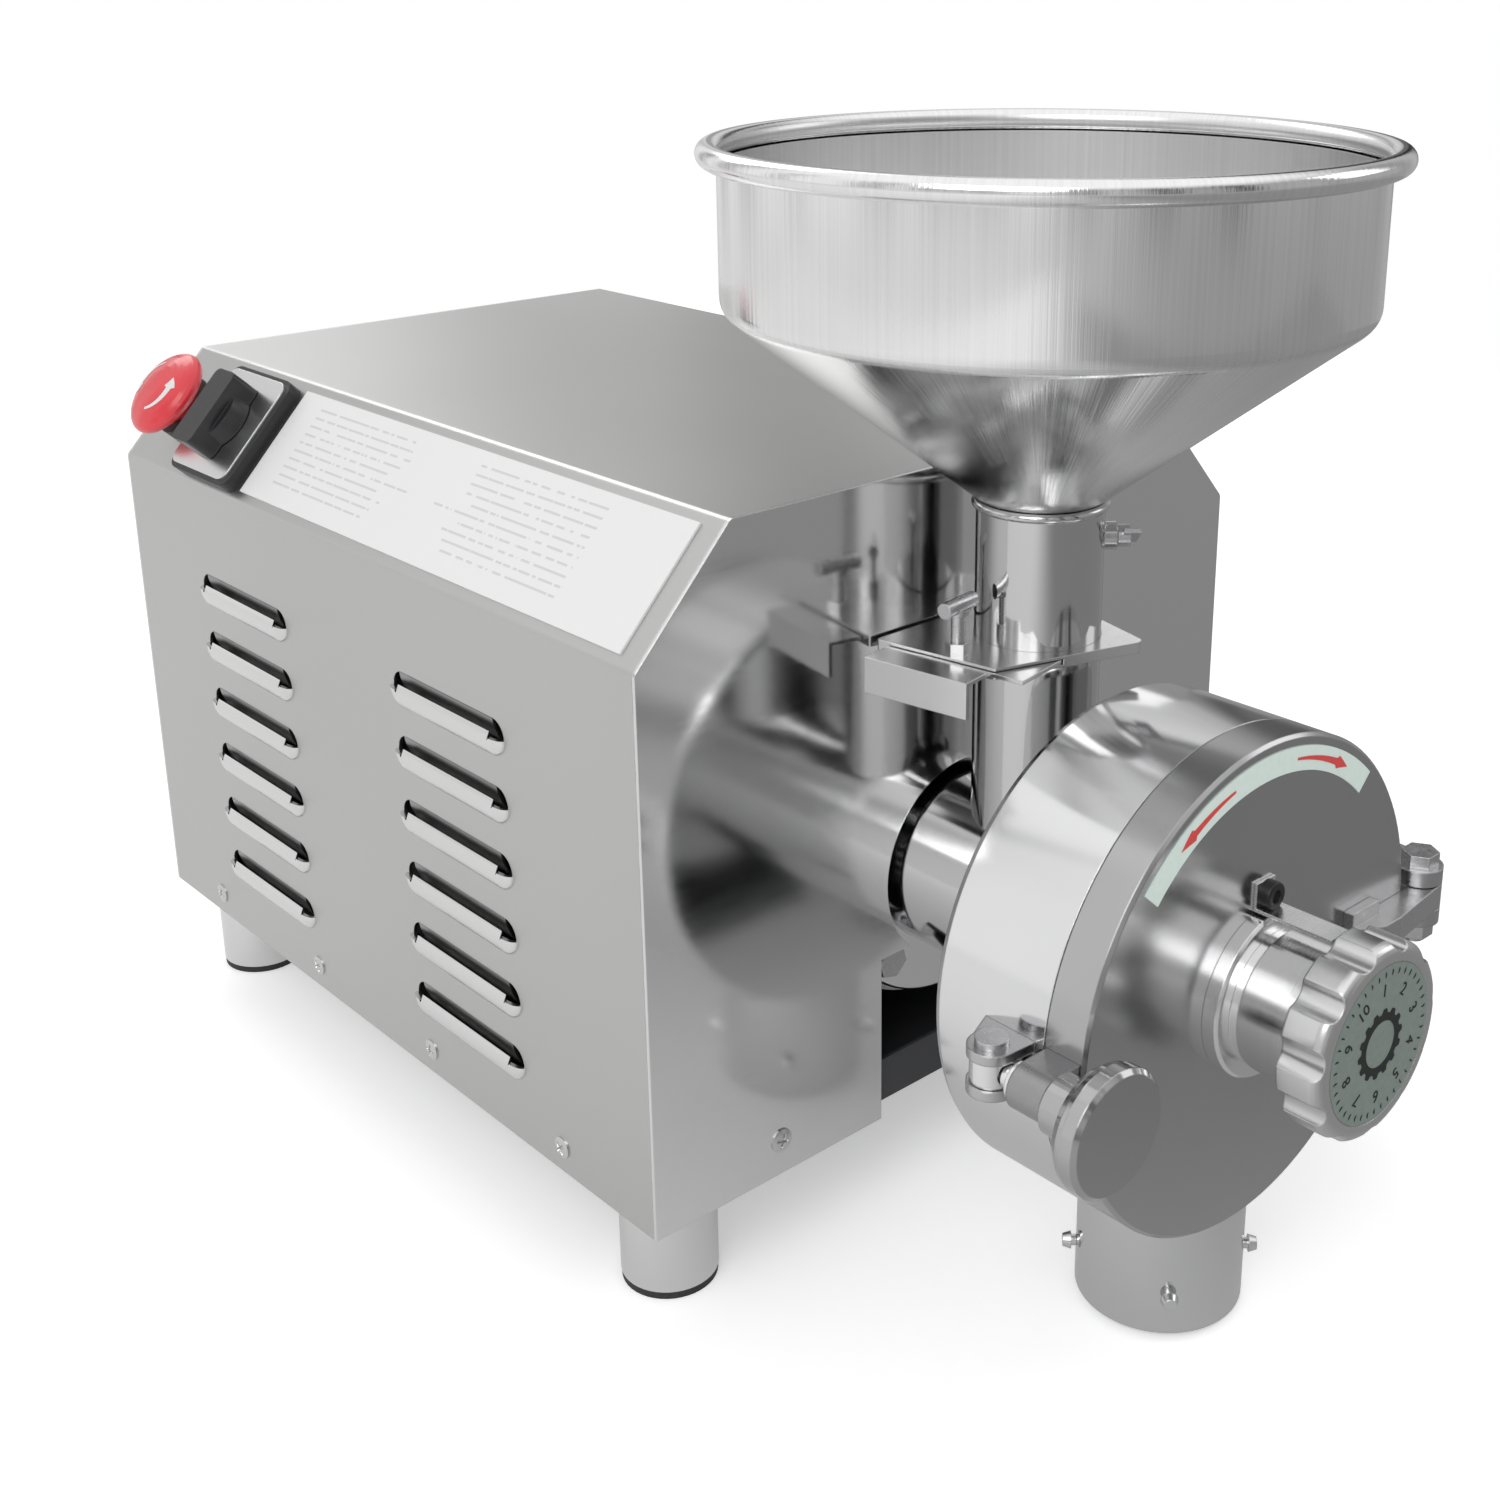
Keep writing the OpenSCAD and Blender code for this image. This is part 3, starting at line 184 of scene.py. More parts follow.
def grid_faces(rows, columns, wrap_rows=False, wrap_columns=False):
    """Quads over a grid of rows by columns points, joined round where a direction wraps."""
    r = np.arange(rows if wrap_rows else rows - 1)
    c = np.arange(columns if wrap_columns else columns - 1)
    r, c = np.meshgrid(r, c, indexing="ij")
    r2, c2 = (r + 1) % rows, (c + 1) % columns
    return np.stack([r * columns + c, r2 * columns + c, r2 * columns + c2, r * columns + c2],
                    -1).reshape(-1, 4)


board = Finish("backdrop_board", (0.93, 0.93, 0.93), 0.9)
camera_left = (-0.727, 0.686, 0)
# Painted reflected light: for glossy rays only, the board is painted brighter towards the camera's
# left and glows a little, so the steel shows light from the left and no contact shadow.
across = board.node("VectorMath", {"operation": "DOT_PRODUCT"}, board.place(), camera_left,
                    out="Value")
painted_reflected_light = board.node("MapRange", {"interpolation_type": "SMOOTHSTEP"}, across,
                      -0.45, 0.2, 0.29, 0.9)
in_steel = board.node("LightPath", out="Is Glossy Ray")
board.set(Base_Color=in_steel * painted_reflected_light * 0.6 + (1 - in_steel) * 0.93,
          Emission_Color=in_steel * painted_reflected_light * 0.42
          + board.node("LightPath", out="Is Camera Ray") * 0.42, Emission_Strength=1.0)
floor_points = [(x, y, -0.0002) for x, y in ((-1.5, -1.5), (1.5, -1.5), (1.5, 1.5), (-1.5, 1.5))]
floor = surface("floor", floor_points, [(0, 1, 2, 3)], board, None, close=False)

world = bpy.data.worlds.new("white_room")
bpy.context.scene.world = world
world.use_nodes = True
room = Bench(world.node_tree)
toward = room.node("TexCoord", out="Generated")
level_dir = room.node("VectorMath", {"operation": "MULTIPLY"}, toward, (1, 1, 0))
level_dir = room.node("VectorMath", {"operation": "NORMALIZE"}, level_dir)
stands = room.node("TexNoise", {}, Vector=level_dir, Scale=3.1, Detail=4.0, Roughness=0.62)
stands = room.node("ValToRGB", {"stops": [(0.38, 0.06), (0.44, 0.45), (0.5, 0.95), (0.58, 1.0)]},
                   stands)
height = room.node("SeparateXYZ", {}, toward, out="Z")
overhead = room.node("MapRange", {"interpolation_type": "SMOOTHSTEP"}, height, 0.45, 0.85, 0.0, 1.0)
below = room.node("MapRange", {"interpolation_type": "SMOOTHSTEP"}, height, -0.02, -0.22, 0.0, 1.0)
leftward = room.node("VectorMath", {"operation": "DOT_PRODUCT"}, level_dir, camera_left,
                     out="Value")
leftness = room.node("MapRange", {"interpolation_type": "SMOOTHSTEP"}, leftward, -0.8, 0.6, 0.44, 0.98)
seen = (stands * (1 - overhead) * (1 - below) + below * 0.8) * leftness + overhead * 1.1
camera_ray = room.node("LightPath", out="Is Camera Ray")
glossy_ray = room.node("LightPath", out="Is Glossy Ray")
ambient = glossy_ray * seen + (1 - glossy_ray) * 0.62
strength = camera_ray + (1 - camera_ray) * ambient
world.node_tree.links.new(strength.socket, world.node_tree.nodes["Background"].inputs["Strength"])
world.node_tree.nodes["Background"].inputs["Color"].default_value = (1, 1, 1, 1)

# Camera and lamps
# The camera stands at the front left, a little above the hopper's base. Its shift keeps the
# photograph's framing. Three broad lamps: one over the left shoulder, a fill and one behind.

eye = bpy.data.cameras.new("view")
eye.lens, eye.sensor_width = 46.53, 36.0
eye.shift_x, eye.shift_y = -0.08, -0.1267
camera = bpy.data.objects.new("view", eye)
camera.location = (-0.48131, -0.56515, 0.469)
camera.rotation_euler = (math.radians(90 - 17.86), 0, math.radians(-43.35))
bpy.context.scene.collection.objects.link(camera)
bpy.context.scene.camera = camera

for name, spot, size, power in (
    ("lamp_left", (-1.7, -0.9, 1.6), 1.4, 16.0),
    ("lamp_right", (1.9, -1.1, 1.3), 1.0, 4.0),
    ("lamp_behind", (0.3, 1.9, 1.8), 1.2, 9.0),
):
    lamp = bpy.data.lights.new(name, "AREA")
    lamp.shape, lamp.size, lamp.energy = "SQUARE", size, power
    holder = bpy.data.objects.new(name, lamp)
    holder.location = spot
    aim = Vector((0, -0.05, 0.2)) - Vector(spot)
    holder.rotation_euler = aim.to_track_quat("-Z", "Y").to_euler()
    bpy.context.scene.collection.objects.link(holder)

bpy.context.scene.view_settings.view_transform = "Standard"

# Housing shell
# A wrap of satin stainless sheet, folded over the two shoulders. Its side walls have pressed
# louvres. The finish is a fine brush along the machine's length.


def dress(finish, *nodes):
    """Gives CAD nodes their finish."""
    for node in nodes:
        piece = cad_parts[node]
        piece.data.materials.clear()
        piece.data.materials.append(finish.data)


def brushed(name, colour, roughness, stretch, spread=0.08, edge=0.0005):
    """Satin steel: long fine strokes in roughness and relief, and a slow change of tone."""
    steel = Finish(name, colour, roughness, 1.0)
    strokes = steel.noise(steel.place(*stretch), detail=3, rough=0.6)
    slow = steel.noise(steel.place(5, 5, 5), detail=1)
    steel.set(Roughness=(strokes - 0.5) * spread + (slow - 0.5) * 0.1 + roughness)
    steel.shade(slow, tuple(c * 0.94 for c in colour), tuple(min(1, c * 1.05) for c in colour))
    steel.relief(strokes, 0.12, 0.00006, edge)
    return steel


ALONG_HOUSING = (1800, 14, 1800)
wrap_steel = brushed("satin_wrap", (0.54, 0.54, 0.535), 0.34, ALONG_HOUSING)
dress(wrap_steel, "housing_wrap")

AXIS_X = (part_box("front_cover")[0].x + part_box("front_cover")[1].x) / 2
AXIS_Z = (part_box("front_cover")[0].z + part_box("front_cover")[1].z) / 2
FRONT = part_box("front_panel")[0].y
WALL = (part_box("housing_wrap")[1].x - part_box("housing_wrap")[0].x) / 2
BASE = 0.040

# Louvre lips
# Each louvre is lanced and pressed out of the wall: the lower edge of the slot swells out in a
# rounded lip. They are drawn as one curved section swept round the lower half of the slot.

LIP_OUT, LIP_SHEET, SLOT_H, SLOT_LEN = 0.003, 0.0012, 0.013, 0.074
LIP_MARGIN = 0.0009
LOUVRE_ROWS, LOUVRE_FIRST, LOUVRE_PITCH = 6, 0.033, 0.026
louvre_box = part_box("louvre_lips")
LOUVRE_COLUMNS = (louvre_box[0].y + SLOT_LEN / 2 + LIP_MARGIN,
                  louvre_box[1].y - SLOT_LEN / 2 - LIP_MARGIN)


def joined(parts):
    """Several (points, faces) pairs as one."""
    points, faces, count = [], [], 0
    for part_points, part_faces in parts:
        points.append(part_points)
        faces += [[i + count for i in face] for face in part_faces]
        count += len(part_points)
    return np.concatenate(points), faces


def at_louvres(out, along, rise):
    """One closed grid repeated at every louvre of both walls: x is the wall plus out, y the
    column's middle plus along, and z the row's height plus rise."""
    section = along.shape[1]
    faces = grid_faces(*along.shape, wrap_columns=True).tolist()
    faces.append(list(range(section)))
    faces.append([along.size - 1 - i for i in range(section)])
    return joined([
        (np.stack([AXIS_X + side * (WALL + out), y + along,
                   BASE + LOUVRE_FIRST + LOUVRE_PITCH * row + rise], -1).reshape(-1, 3), faces)
        for side in (-1, 1) for y in LOUVRE_COLUMNS for row in range(LOUVRE_ROWS)])


# Painted highlight: the lips are the wall's own satin sheet, given a lighter, shinier copy of its
# steel for the light that their rounded faces catch.
lip_painted_highlight = brushed("louvre_painted_highlight_steel", (0.74, 0.74, 0.735), 0.26, ALONG_HOUSING, edge=0.0)
quarter = np.linspace(0, np.pi / 2, 9)
outer = np.stack([(SLOT_H / 2 + LIP_MARGIN) * np.cos(quarter * 0.93),
                  LIP_OUT * np.sin(quarter)], 1)
inner = np.stack([(SLOT_H / 2 - 0.0004) * np.cos(quarter[-2::-1] * 1.4),
                  (LIP_OUT - LIP_SHEET) * np.sin(quarter[-2::-1])], 1)
lip = np.concatenate([outer, inner])
half = (SLOT_LEN - SLOT_H) / 2
sweep = np.concatenate([np.stack([np.full(13, half), np.linspace(0, -np.pi / 2, 13)], 1),
                        np.stack([np.full(13, -half), np.linspace(-np.pi / 2, -np.pi, 13)], 1)])
lip_along = sweep[:, :1] + lip[None, :, 0] * np.cos(sweep[:, 1:])
lip_rise = lip[None, :, 0] * np.sin(sweep[:, 1:])
lip_stand = np.broadcast_to(lip[None, :, 1], lip_along.shape)
lips = surface("louvre_lips_pressed", *at_louvres(lip_stand, lip_along, lip_rise), lip_painted_highlight,
               "housing", "wrap_steel", crease=50)
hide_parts("louvre_lips")

# Louvre flaps
# Behind each lip the lanced sheet leans inward, from the slot's upper edge to below its
# middle. It is one with the wall, and is drawn darker because it lies in the slot's shade.

flap_steel = brushed("louvre_flap_steel", (0.34, 0.34, 0.34), 0.36, ALONG_HOUSING, edge=0.0)
lean = np.linspace(0, 1, 7)
front_side = np.stack([0.0062 - 0.0100 * lean, -0.0002 - 0.0036 * lean ** 1.6], 1)
flap = np.concatenate([front_side, front_side[::-1] - [0.0002, 0.0009]])
flap_ends = np.array([0.0325, 0.0322, -0.0296, -0.0300])
flap_shape = (len(flap_ends), len(flap))
surface("louvre_flaps", *at_louvres(np.broadcast_to(flap[:, 1], flap_shape),
                                    np.broadcast_to(flap_ends[:, None], flap_shape),
                                    np.broadcast_to(flap[:, 0], flap_shape)),
        flap_steel, "housing", "wrap_steel", crease=50)

# Front and rear panels
# The front panel is a flat plate with a mirror finish, a round hole for the barrel and an open
# slot under it. The rear panel is satin, with rows of vents.

mirror = Finish("mirror_panel", (0.74, 0.74, 0.74), 0.09, 1.0)
waves = mirror.noise(mirror.place(9, 9, 9), detail=1)
wipe = mirror.noise(mirror.place(60, 60, 900), detail=2)
mirror.set(Roughness=wipe * 0.07 + 0.07)
mirror.relief(waves, 0.25, 0.0012, 0.0006)
dress(mirror, "front_panel")
dress(brushed("satin_rear", (0.66, 0.66, 0.655), 0.36, (14, 1800, 1800)), "rear_panel")

# Panel screws
# Pan-head screws with a cross recess hold the wrap and both panels to the inner angles. They
# are small, so they are drawn here only, each head standing on its panel.


def screw_head(x, y, z, out, radius=0.0042, height=0.0022, cross=0.3):
    """A domed head on a grid of angle by radius. The cross recess sinks two bars through the
    middle of the dome. out is the direction that the head faces."""
    angle = np.linspace(0, 2 * np.pi, 72, endpoint=False)
    reach = np.concatenate([[0.001], np.linspace(0.06, 0.9, 16), [0.97, 1.0, 1.0]])
    lift = np.concatenate([np.sqrt(1 - 0.55 * reach[:-1] ** 2) - 0.42, [-0.1]])
    a, r = np.meshgrid(angle + cross, reach, indexing="ij")
    bar = np.minimum(abs(r * np.cos(a - cross)), abs(r * np.sin(a - cross)))
    sunk = np.clip((0.13 - bar) / 0.05, 0, 1) * np.clip((0.62 - r) / 0.12, 0, 1)
    up = np.broadcast_to(lift, a.shape) * height - sunk * height * 0.45
    out = np.array(out, float)
    side = np.cross(out, (0.0, 0.0, 1.0))
    top = np.cross(side, out)
    points = (np.array([x, y, z]) + (r * radius * np.cos(a))[..., None] * side
              + (r * radius * np.sin(a))[..., None] * top + up[..., None] * out)
    faces = grid_faces(*a.shape, wrap_rows=True).tolist()
    faces.append([i * len(reach) for i in range(72)])
    faces.append([i * len(reach) + len(reach) - 1 for i in range(72)][::-1])
    return points.reshape(-1, 3), faces


screw_steel = Finish("screw_steel", (0.62, 0.62, 0.62), 0.22, 1.0)
screw_steel.grained((900, 900, 900), 3, 0.2, 0.14, 0.15, 0.0001)
WALL_SCREWS = (0.326, 0.2355, 0.145, 0.0556)
REAR_SCREWS = ((0.135, 0.014), (0.135, 0.150), (0.09, 0.238))
heads = []
for side in (-1, 1):
    for k, y in enumerate(WALL_SCREWS):
        heads.append(screw_head(AXIS_X + side * WALL, FRONT + y, BASE + 0.010, (side, 0, 0),
                                cross=0.3 + 0.7 * k))
    heads.append(screw_head(AXIS_X + side * 0.093, FRONT, BASE + 0.014, (0, -1, 0), 0.0046))
    for x, z in REAR_SCREWS:
        heads.append(screw_head(AXIS_X + side * x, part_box("rear_panel")[1].y, BASE + z, (0, 1, 0)))
surface("panel_screws", *joined(heads), screw_steel, "housing", "screw_steel", crease=40)

# Tray and feet
# A painted steel tray closes the bottom. Four polished tube feet are bolted to it, each with a
# rubber pad pressed into its end.

tray_paint = Finish("tray_paint", (0.045, 0.046, 0.05), 0.5)
tray_paint.grained((700, 700, 700), 2, 0.25, 0.35, 0.2, 0.0002)
dress(tray_paint, "base_tray")

foot_steel = brushed("foot_steel", (0.74, 0.74, 0.74), 0.16, (900, 900, 12), 0.1, 0.0)
dress(foot_steel, "foot_tubes")
rubber = Finish("rubber_black", (0.022, 0.022, 0.023), 0.65)
rubber.mottled((1500, 1500, 1500), 3, (0.016, 0.016, 0.017), (0.04, 0.04, 0.042), 0.3, 0.0002)
dress(rubber, "foot_pads", "shaft_seal")
bolt_steel = Finish("bolt_steel", (0.55, 0.55, 0.56), 0.28, 1.0)
bolt_steel.grained((500, 500, 1400), 3, 0.22, 0.18, 0.2, 0.0001, 0.0005)
dress(bolt_steel, "foot_bolts", "flange_bolts", "hinge_bolt", "clamp_pin", "gate_screw",
      "hopper_screw")

# Label plate
# A white plate on the left shoulder with plain grey rules in two columns. They stand for lines
# of print and spell nothing.

label = Finish("label_white", (0.9, 0.9, 0.9), 0.32)
here = label.place()
ly = label.node("SeparateXYZ", {}, here, out="Y")
lz = label.node("SeparateXYZ", {}, here, out="Z")
plate_low, plate_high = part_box("label_plate")
row_at = (lz - plate_low.z) * (1 / (plate_high.z - plate_low.z))
row_no = label.node("Math", {"operation": "FLOOR"}, row_at * 13)
in_row = row_at * 13 - row_no
rule = (in_row > 0.36) * (in_row < 0.6) * (row_at > 0.13) * (row_at < 0.9)
length_at = (ly - plate_low.y) * (1 / (plate_high.y - plate_low.y))
word = label.node("CombineXYZ", {}, ly * 260, row_no * 7.3, 0.0)
gaps = label.noise(word, detail=1) > 0.42
line_end = label.noise(label.node("CombineXYZ", {}, row_no * 3.1, 0.0, 0.0), detail=0)
near = (length_at > 0.17) * (length_at < line_end * 0.22 + 0.36)
far = (length_at < 0.93) * (length_at > 0.74 - line_end * 0.2)
ink = rule * gaps * (near + far) * 0.4
label.shade(ink, (0.88, 0.88, 0.88), (0.42, 0.42, 0.43))
dress(label, "label_plate")

# Controls on the shoulder
# An emergency stop with a red mushroom head, and a cam switch with a bright square plate and a
# black bar grip. White arrows show which way the mushroom turns to let go.

red = Finish("stop_red", (0.78, 0.035, 0.05), 0.28, Coat_Weight=0.35, Coat_Roughness=0.12)
red.mottled((120, 120, 120), 2, (0.74, 0.03, 0.045), (0.84, 0.05, 0.065), 0.1, 0.0002, 0.0005)
dress(red, "stop_button")
black = Finish("moulded_black", (0.018, 0.018, 0.02), 0.38)
black.grained((1600, 1600, 1600), 2, 0.16, 0.3, 0.16, 0.0001, 0.0006)
dress(black, "stop_collar", "switch_body", "cable_gland")
grip = Finish("grip_black", (0.02, 0.02, 0.022), 0.3)
grip.grained((300, 300, 300), 3, 0.2, 0.22, 0.12, 0.0001, 0.0008)
dress(grip, "switch_grip")
plate_steel = brushed("switch_plate_steel", (0.78, 0.78, 0.78), 0.25, (200, 2400, 200))
dress(plate_steel, "switch_plate")

TILT = math.radians(47.07)
FOLD = Vector((AXIS_X - WALL, 0, BASE + 0.209))


def on_shoulder(up, y, out):
    """Points on the left shoulder: up the slope from its lower fold, along Y, and out of it."""
    return np.stack([FOLD.x + up * math.cos(TILT) - out * math.sin(TILT), y,
                     FOLD.z + up * math.sin(TILT) + out * math.cos(TILT)], -1)


def band(middle, wide, start, end, steps, head=0.0, flare=1.0):
    """A flat curved band as (angle, radius) rows for its two edges. Its width grows from the
    tail to wide, and a head of that many radians swells by flare and comes to a point."""
    turn = np.linspace(0, 1, steps)
    angle = start + (end - start) * turn
    point_from = 1 - head / abs(end - start) if head else 2.0
    width = wide * (0.35 + 0.65 * np.minimum(turn / max(min(point_from, 1), 1e-6), 1))
    tip = np.clip((1 - turn) / max(1 - point_from, 1e-6), 0, 1)
    width = np.where(turn >= point_from, wide * flare * tip + 1e-5, width)
    return angle, middle - width / 2, middle + width / 2


def ribbon(angle, r_in, r_out, lay, thick=0.00012, lift=0.00004):
    """A thin closed strip along the band. lay(radius, angle, out) puts it on its surface."""
    rows = [lay(r_in, angle, lift), lay(r_out, angle, lift),
            lay(r_out, angle, lift + thick), lay(r_in, angle, lift + thick)]
    points = np.stack(rows, 1)
    count = len(angle)
    faces = grid_faces(count, 4, wrap_columns=True).tolist()
    faces += [[0, 1, 2, 3], [(count - 1) * 4 + i for i in (3, 2, 1, 0)]]
    return points.reshape(-1, 3), faces


STOP_Y = FRONT + 0.341
CONTROL_UP = 0.028


def on_dome(radius, angle, out):
    """The mushroom's dome: height falls with radius as on a flat ellipsoid."""
    high = 0.017 + 0.008 * np.sqrt(1 - (radius / 0.020) ** 2) + out
    return on_shoulder(CONTROL_UP + radius * np.cos(angle), STOP_Y + radius * np.sin(angle), high)


white_print = Finish("white_print", (0.86, 0.86, 0.85), 0.45)
print_wear = white_print.noise(white_print.place(800, 800, 800), detail=2)
white_print.shade(print_wear, (0.8, 0.78, 0.78), (0.9, 0.9, 0.89))
arrows = [ribbon(*band(0.0118, 0.0026, start, start + 1.75, 28, 0.42, 2.3), on_dome)
          for start in (0.35, 0.35 + math.pi)]
surface("stop_arrows", *joined(arrows), white_print, "stop_head", "white_label")

# Barrel, drum and outlet
# The barrel is a turned casting bolted to the front panel by its flange. It carries the drum,
# polished all round, with the outlet spout welded under it.


def turned(name, colour, roughness, rings=0.14, edge=0.0006):
    """Polished turned steel: fine rings by the distance from the mill's axis and along it."""
    steel = Finish(name, colour, roughness, 1.0)
    from_axis = steel.node("VectorMath", {"operation": "SUBTRACT"}, steel.place(),
                           (AXIS_X, 0, AXIS_Z))
    flat = steel.node("VectorMath", {"operation": "MULTIPLY"}, from_axis, (1, 0, 1))
    radius = steel.node("VectorMath", {"operation": "LENGTH"}, flat, out="Value")
    depth = steel.node("SeparateXYZ", {}, from_axis, out="Y")
    lines = steel.noise(steel.node("CombineXYZ", {}, radius * 1500, depth * 1500, 0.0), detail=3)
    slow = steel.noise(steel.place(14, 14, 14), detail=2)
    steel.set(Roughness=lines * 0.06 + slow * 0.06 + (roughness - 0.06))
    steel.shade(slow, tuple(c * 0.93 for c in colour), tuple(min(1, c * 1.04) for c in colour))
    steel.relief(lines, rings, 0.00003, edge)
    return steel


drum_steel = turned("drum_steel", (0.75, 0.75, 0.755), 0.12)
dress(drum_steel, "drum", "barrel", "outlet_pins")
cover_steel = turned("cover_steel", (0.47, 0.47, 0.475), 0.2, 0.2)
dress(cover_steel, "front_cover")
boss_steel = turned("boss_steel", (0.80, 0.80, 0.80), 0.17, 0.25)
dress(boss_steel, "cover_boss", "clamp_swivel", "clamp_screw")
nut_steel = turned("clamp_knob_steel", (0.45, 0.45, 0.45), 0.11, 0.1)
dress(nut_steel, "clamp_nut")

# Feed tube and gate
# A polished tube stands on the barrel. A folded slide gate runs in a plate through it, and a
# T-screw locks the gate.

tube_steel = brushed("tube_steel", (0.58, 0.58, 0.58), 0.1, (700, 700, 14), 0.08, 0.0005)
dress(tube_steel, "feed_tube")
gate_steel = brushed("gate_steel", (0.68, 0.68, 0.68), 0.26, (60, 1600, 1600), 0.1, 0.0005)
dress(gate_steel, "gate_blade", "gate_holder", "detent_strip")

# Hopper
# Spun and rolled stainless sheet: a straight wall with a wired rim, a cone, and a spigot that
# drops into the feed tube. The wall's grain runs upright.

hopper_steel = Finish("hopper_steel", (0.84, 0.84, 0.84), 0.1, 1.0)
HOPPER_Y = (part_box("hopper")[0].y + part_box("hopper")[1].y) / 2
HOPPER_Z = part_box("hopper")[1].z - 0.1214
SHEET = 0.0012
HOPPER_R, CONE_H, WALL_TOP = 0.109, 0.067, 0.113
NECK_R, SPIGOT_R, SPIGOT_LEN = 0.022, 0.0206, 0.023
RIM_R, RIM_Z, RIM_WIRE = 0.1118, 0.1174, 0.004
from_middle = hopper_steel.node("VectorMath", {"operation": "SUBTRACT"}, hopper_steel.place(),
                                (AXIS_X, HOPPER_Y, 0))
level = hopper_steel.node("VectorMath", {"operation": "MULTIPLY"}, from_middle, (1, 1, 0))
round_it = hopper_steel.node("VectorMath", {"operation": "NORMALIZE"}, level)
upright = hopper_steel.noise(round_it, scale=70, detail=4, rough=0.65)
broad = hopper_steel.noise(round_it, scale=5, detail=2)
reach = hopper_steel.node("VectorMath", {"operation": "LENGTH"}, level, out="Value")
high = hopper_steel.node("SeparateXYZ", {}, from_middle, out="Z")
skin = hopper_steel.node("MapRange", {}, high, HOPPER_Z, HOPPER_Z + CONE_H, 0.0214, 0.1084)
within = reach < skin
hopper_steel.set(Roughness=upright * 0.1 + broad * 0.05 + 0.03 + within * 0.24)
hopper_steel.shade(upright - within * 0.25, (0.7, 0.7, 0.7), (0.9, 0.9, 0.9))
hopper_steel.relief(upright, 0.22, 0.0004)


def eased(corners, radius, steps=5):
    """A closed section with each corner turned into an arc of the given radius."""
    corners = np.asarray(corners, float)
    out = []
    for i, at in enumerate(corners):
        r = radius[i] if np.ndim(radius) else radius
        back = corners[i - 1] - at
        on = corners[(i + 1) % len(corners)] - at
        lb, lo = np.linalg.norm(back), np.linalg.norm(on)
        cut = min(r, 0.45 * lb, 0.45 * lo)
        if cut <= 0:
            out.append(at[None])
            continue
        t = np.linspace(0, 1, steps)[:, None]
        start, end = at + back / lb * cut, at + on / lo * cut
        out.append((1 - t) ** 2 * start + 2 * t * (1 - t) * at + t ** 2 * end)
    return np.concatenate(out)


def lathed(section, x, y, steps=256):
    """A closed section of (radius, height) turned about an upright axis through x, y."""
    angle = np.linspace(0, 2 * np.pi, steps, endpoint=False)
    a, r = np.meshgrid(angle, section[:, 0], indexing="ij")
    points = np.stack([x + r * np.cos(a), y + r * np.sin(a),
                       np.broadcast_to(section[:, 1], a.shape)], -1)
    return points.reshape(-1, 3), grid_faces(*a.shape, wrap_rows=True, wrap_columns=True)


wire = np.linspace(-0.5 * np.pi, 1.42 * np.pi, 30)
rim = np.stack([RIM_R + RIM_WIRE * np.cos(wire), RIM_Z + RIM_WIRE * np.sin(wire)], 1)
outside = [[SPIGOT_R, -SPIGOT_LEN], [SPIGOT_R, 0.0], [NECK_R, 0.0], [HOPPER_R, CONE_H],
           [HOPPER_R, WALL_TOP]]
inside = [[HOPPER_R - SHEET, WALL_TOP], [HOPPER_R - SHEET, CONE_H + 0.0008],
          [SPIGOT_R - SHEET, SHEET], [SPIGOT_R - SHEET, -SPIGOT_LEN]]
bowl = np.concatenate([
    eased(outside, [0.0002, 0.0008, 0.0008, 0.004, 0.0], 6)[:-1],
    [[HOPPER_R, WALL_TOP - 0.0002]], rim,
    [[HOPPER_R - SHEET, WALL_TOP + 0.0006]], eased(inside, [0.0, 0.0035, 0.002, 0.0002], 6)[1:],
])
bowl[:, 1] += HOPPER_Z
hopper = surface("hopper_spun", *lathed(bowl, AXIS_X, HOPPER_Y), hopper_steel, "hopper_bowl",
                 "polished_steel", crease=50)
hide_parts("hopper", "hopper_spigot")

# Clamp and hinge irons
# Cast steel lugs, machined where they meet: two on the drum and two on the cover. The fork
# that holds the clamp's knob is darker than the rest.

cast = Finish("cast_steel", (0.52, 0.52, 0.525), 0.3, 1.0)
cast.grained((420, 420, 420), 3, 0.22, 0.2, 0.25, 0.0002, 0.0009)
dress(cast, "hinge_lug", "hinge_arm", "clamp_lug")
fork = Finish("clamp_fork", (0.34, 0.34, 0.345), 0.28, 1.0)
fork.grained((420, 420, 420), 3, 0.2, 0.2, 0.2, 0.0002, 0.0009)
dress(fork, "clamp_arm")

# Detent screw
# A socket screw of blackened steel holds the detent strip on the cover, above the
# collar. Its head is turned, with a round recess for the key.

black_iron = Finish("black_screw", (0.02, 0.02, 0.021), 0.35, 0.4)
black_iron.grained((700, 700, 700), 3, 0.3, 0.25, 0.2, 0.0001)
cap_side = eased([[0.0001, 0.0], [0.0048, 0.0], [0.0048, 0.0044], [0.0023, 0.0044],
                  [0.0023, 0.0032], [0.0001, 0.0032]], [0, 0, 0.0009, 0.0004, 0.0002, 0])
cap_points, cap_faces = lathed(cap_side, 0, 0, 96)
cap_points = np.stack([AXIS_X + cap_points[:, 0],
                       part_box("front_cover")[0].y - 0.0012 - cap_points[:, 2],
                       AXIS_Z + 0.0357 + cap_points[:, 1]], -1)
surface("detent_screw", cap_points, cap_faces, black_iron, "cover", "black_plastic", crease=40)

# Adjuster
# A lobed steel knob on the cover's boss sets the gap of the discs. Its grey-green dial has
# plain numbers round a cog ring.

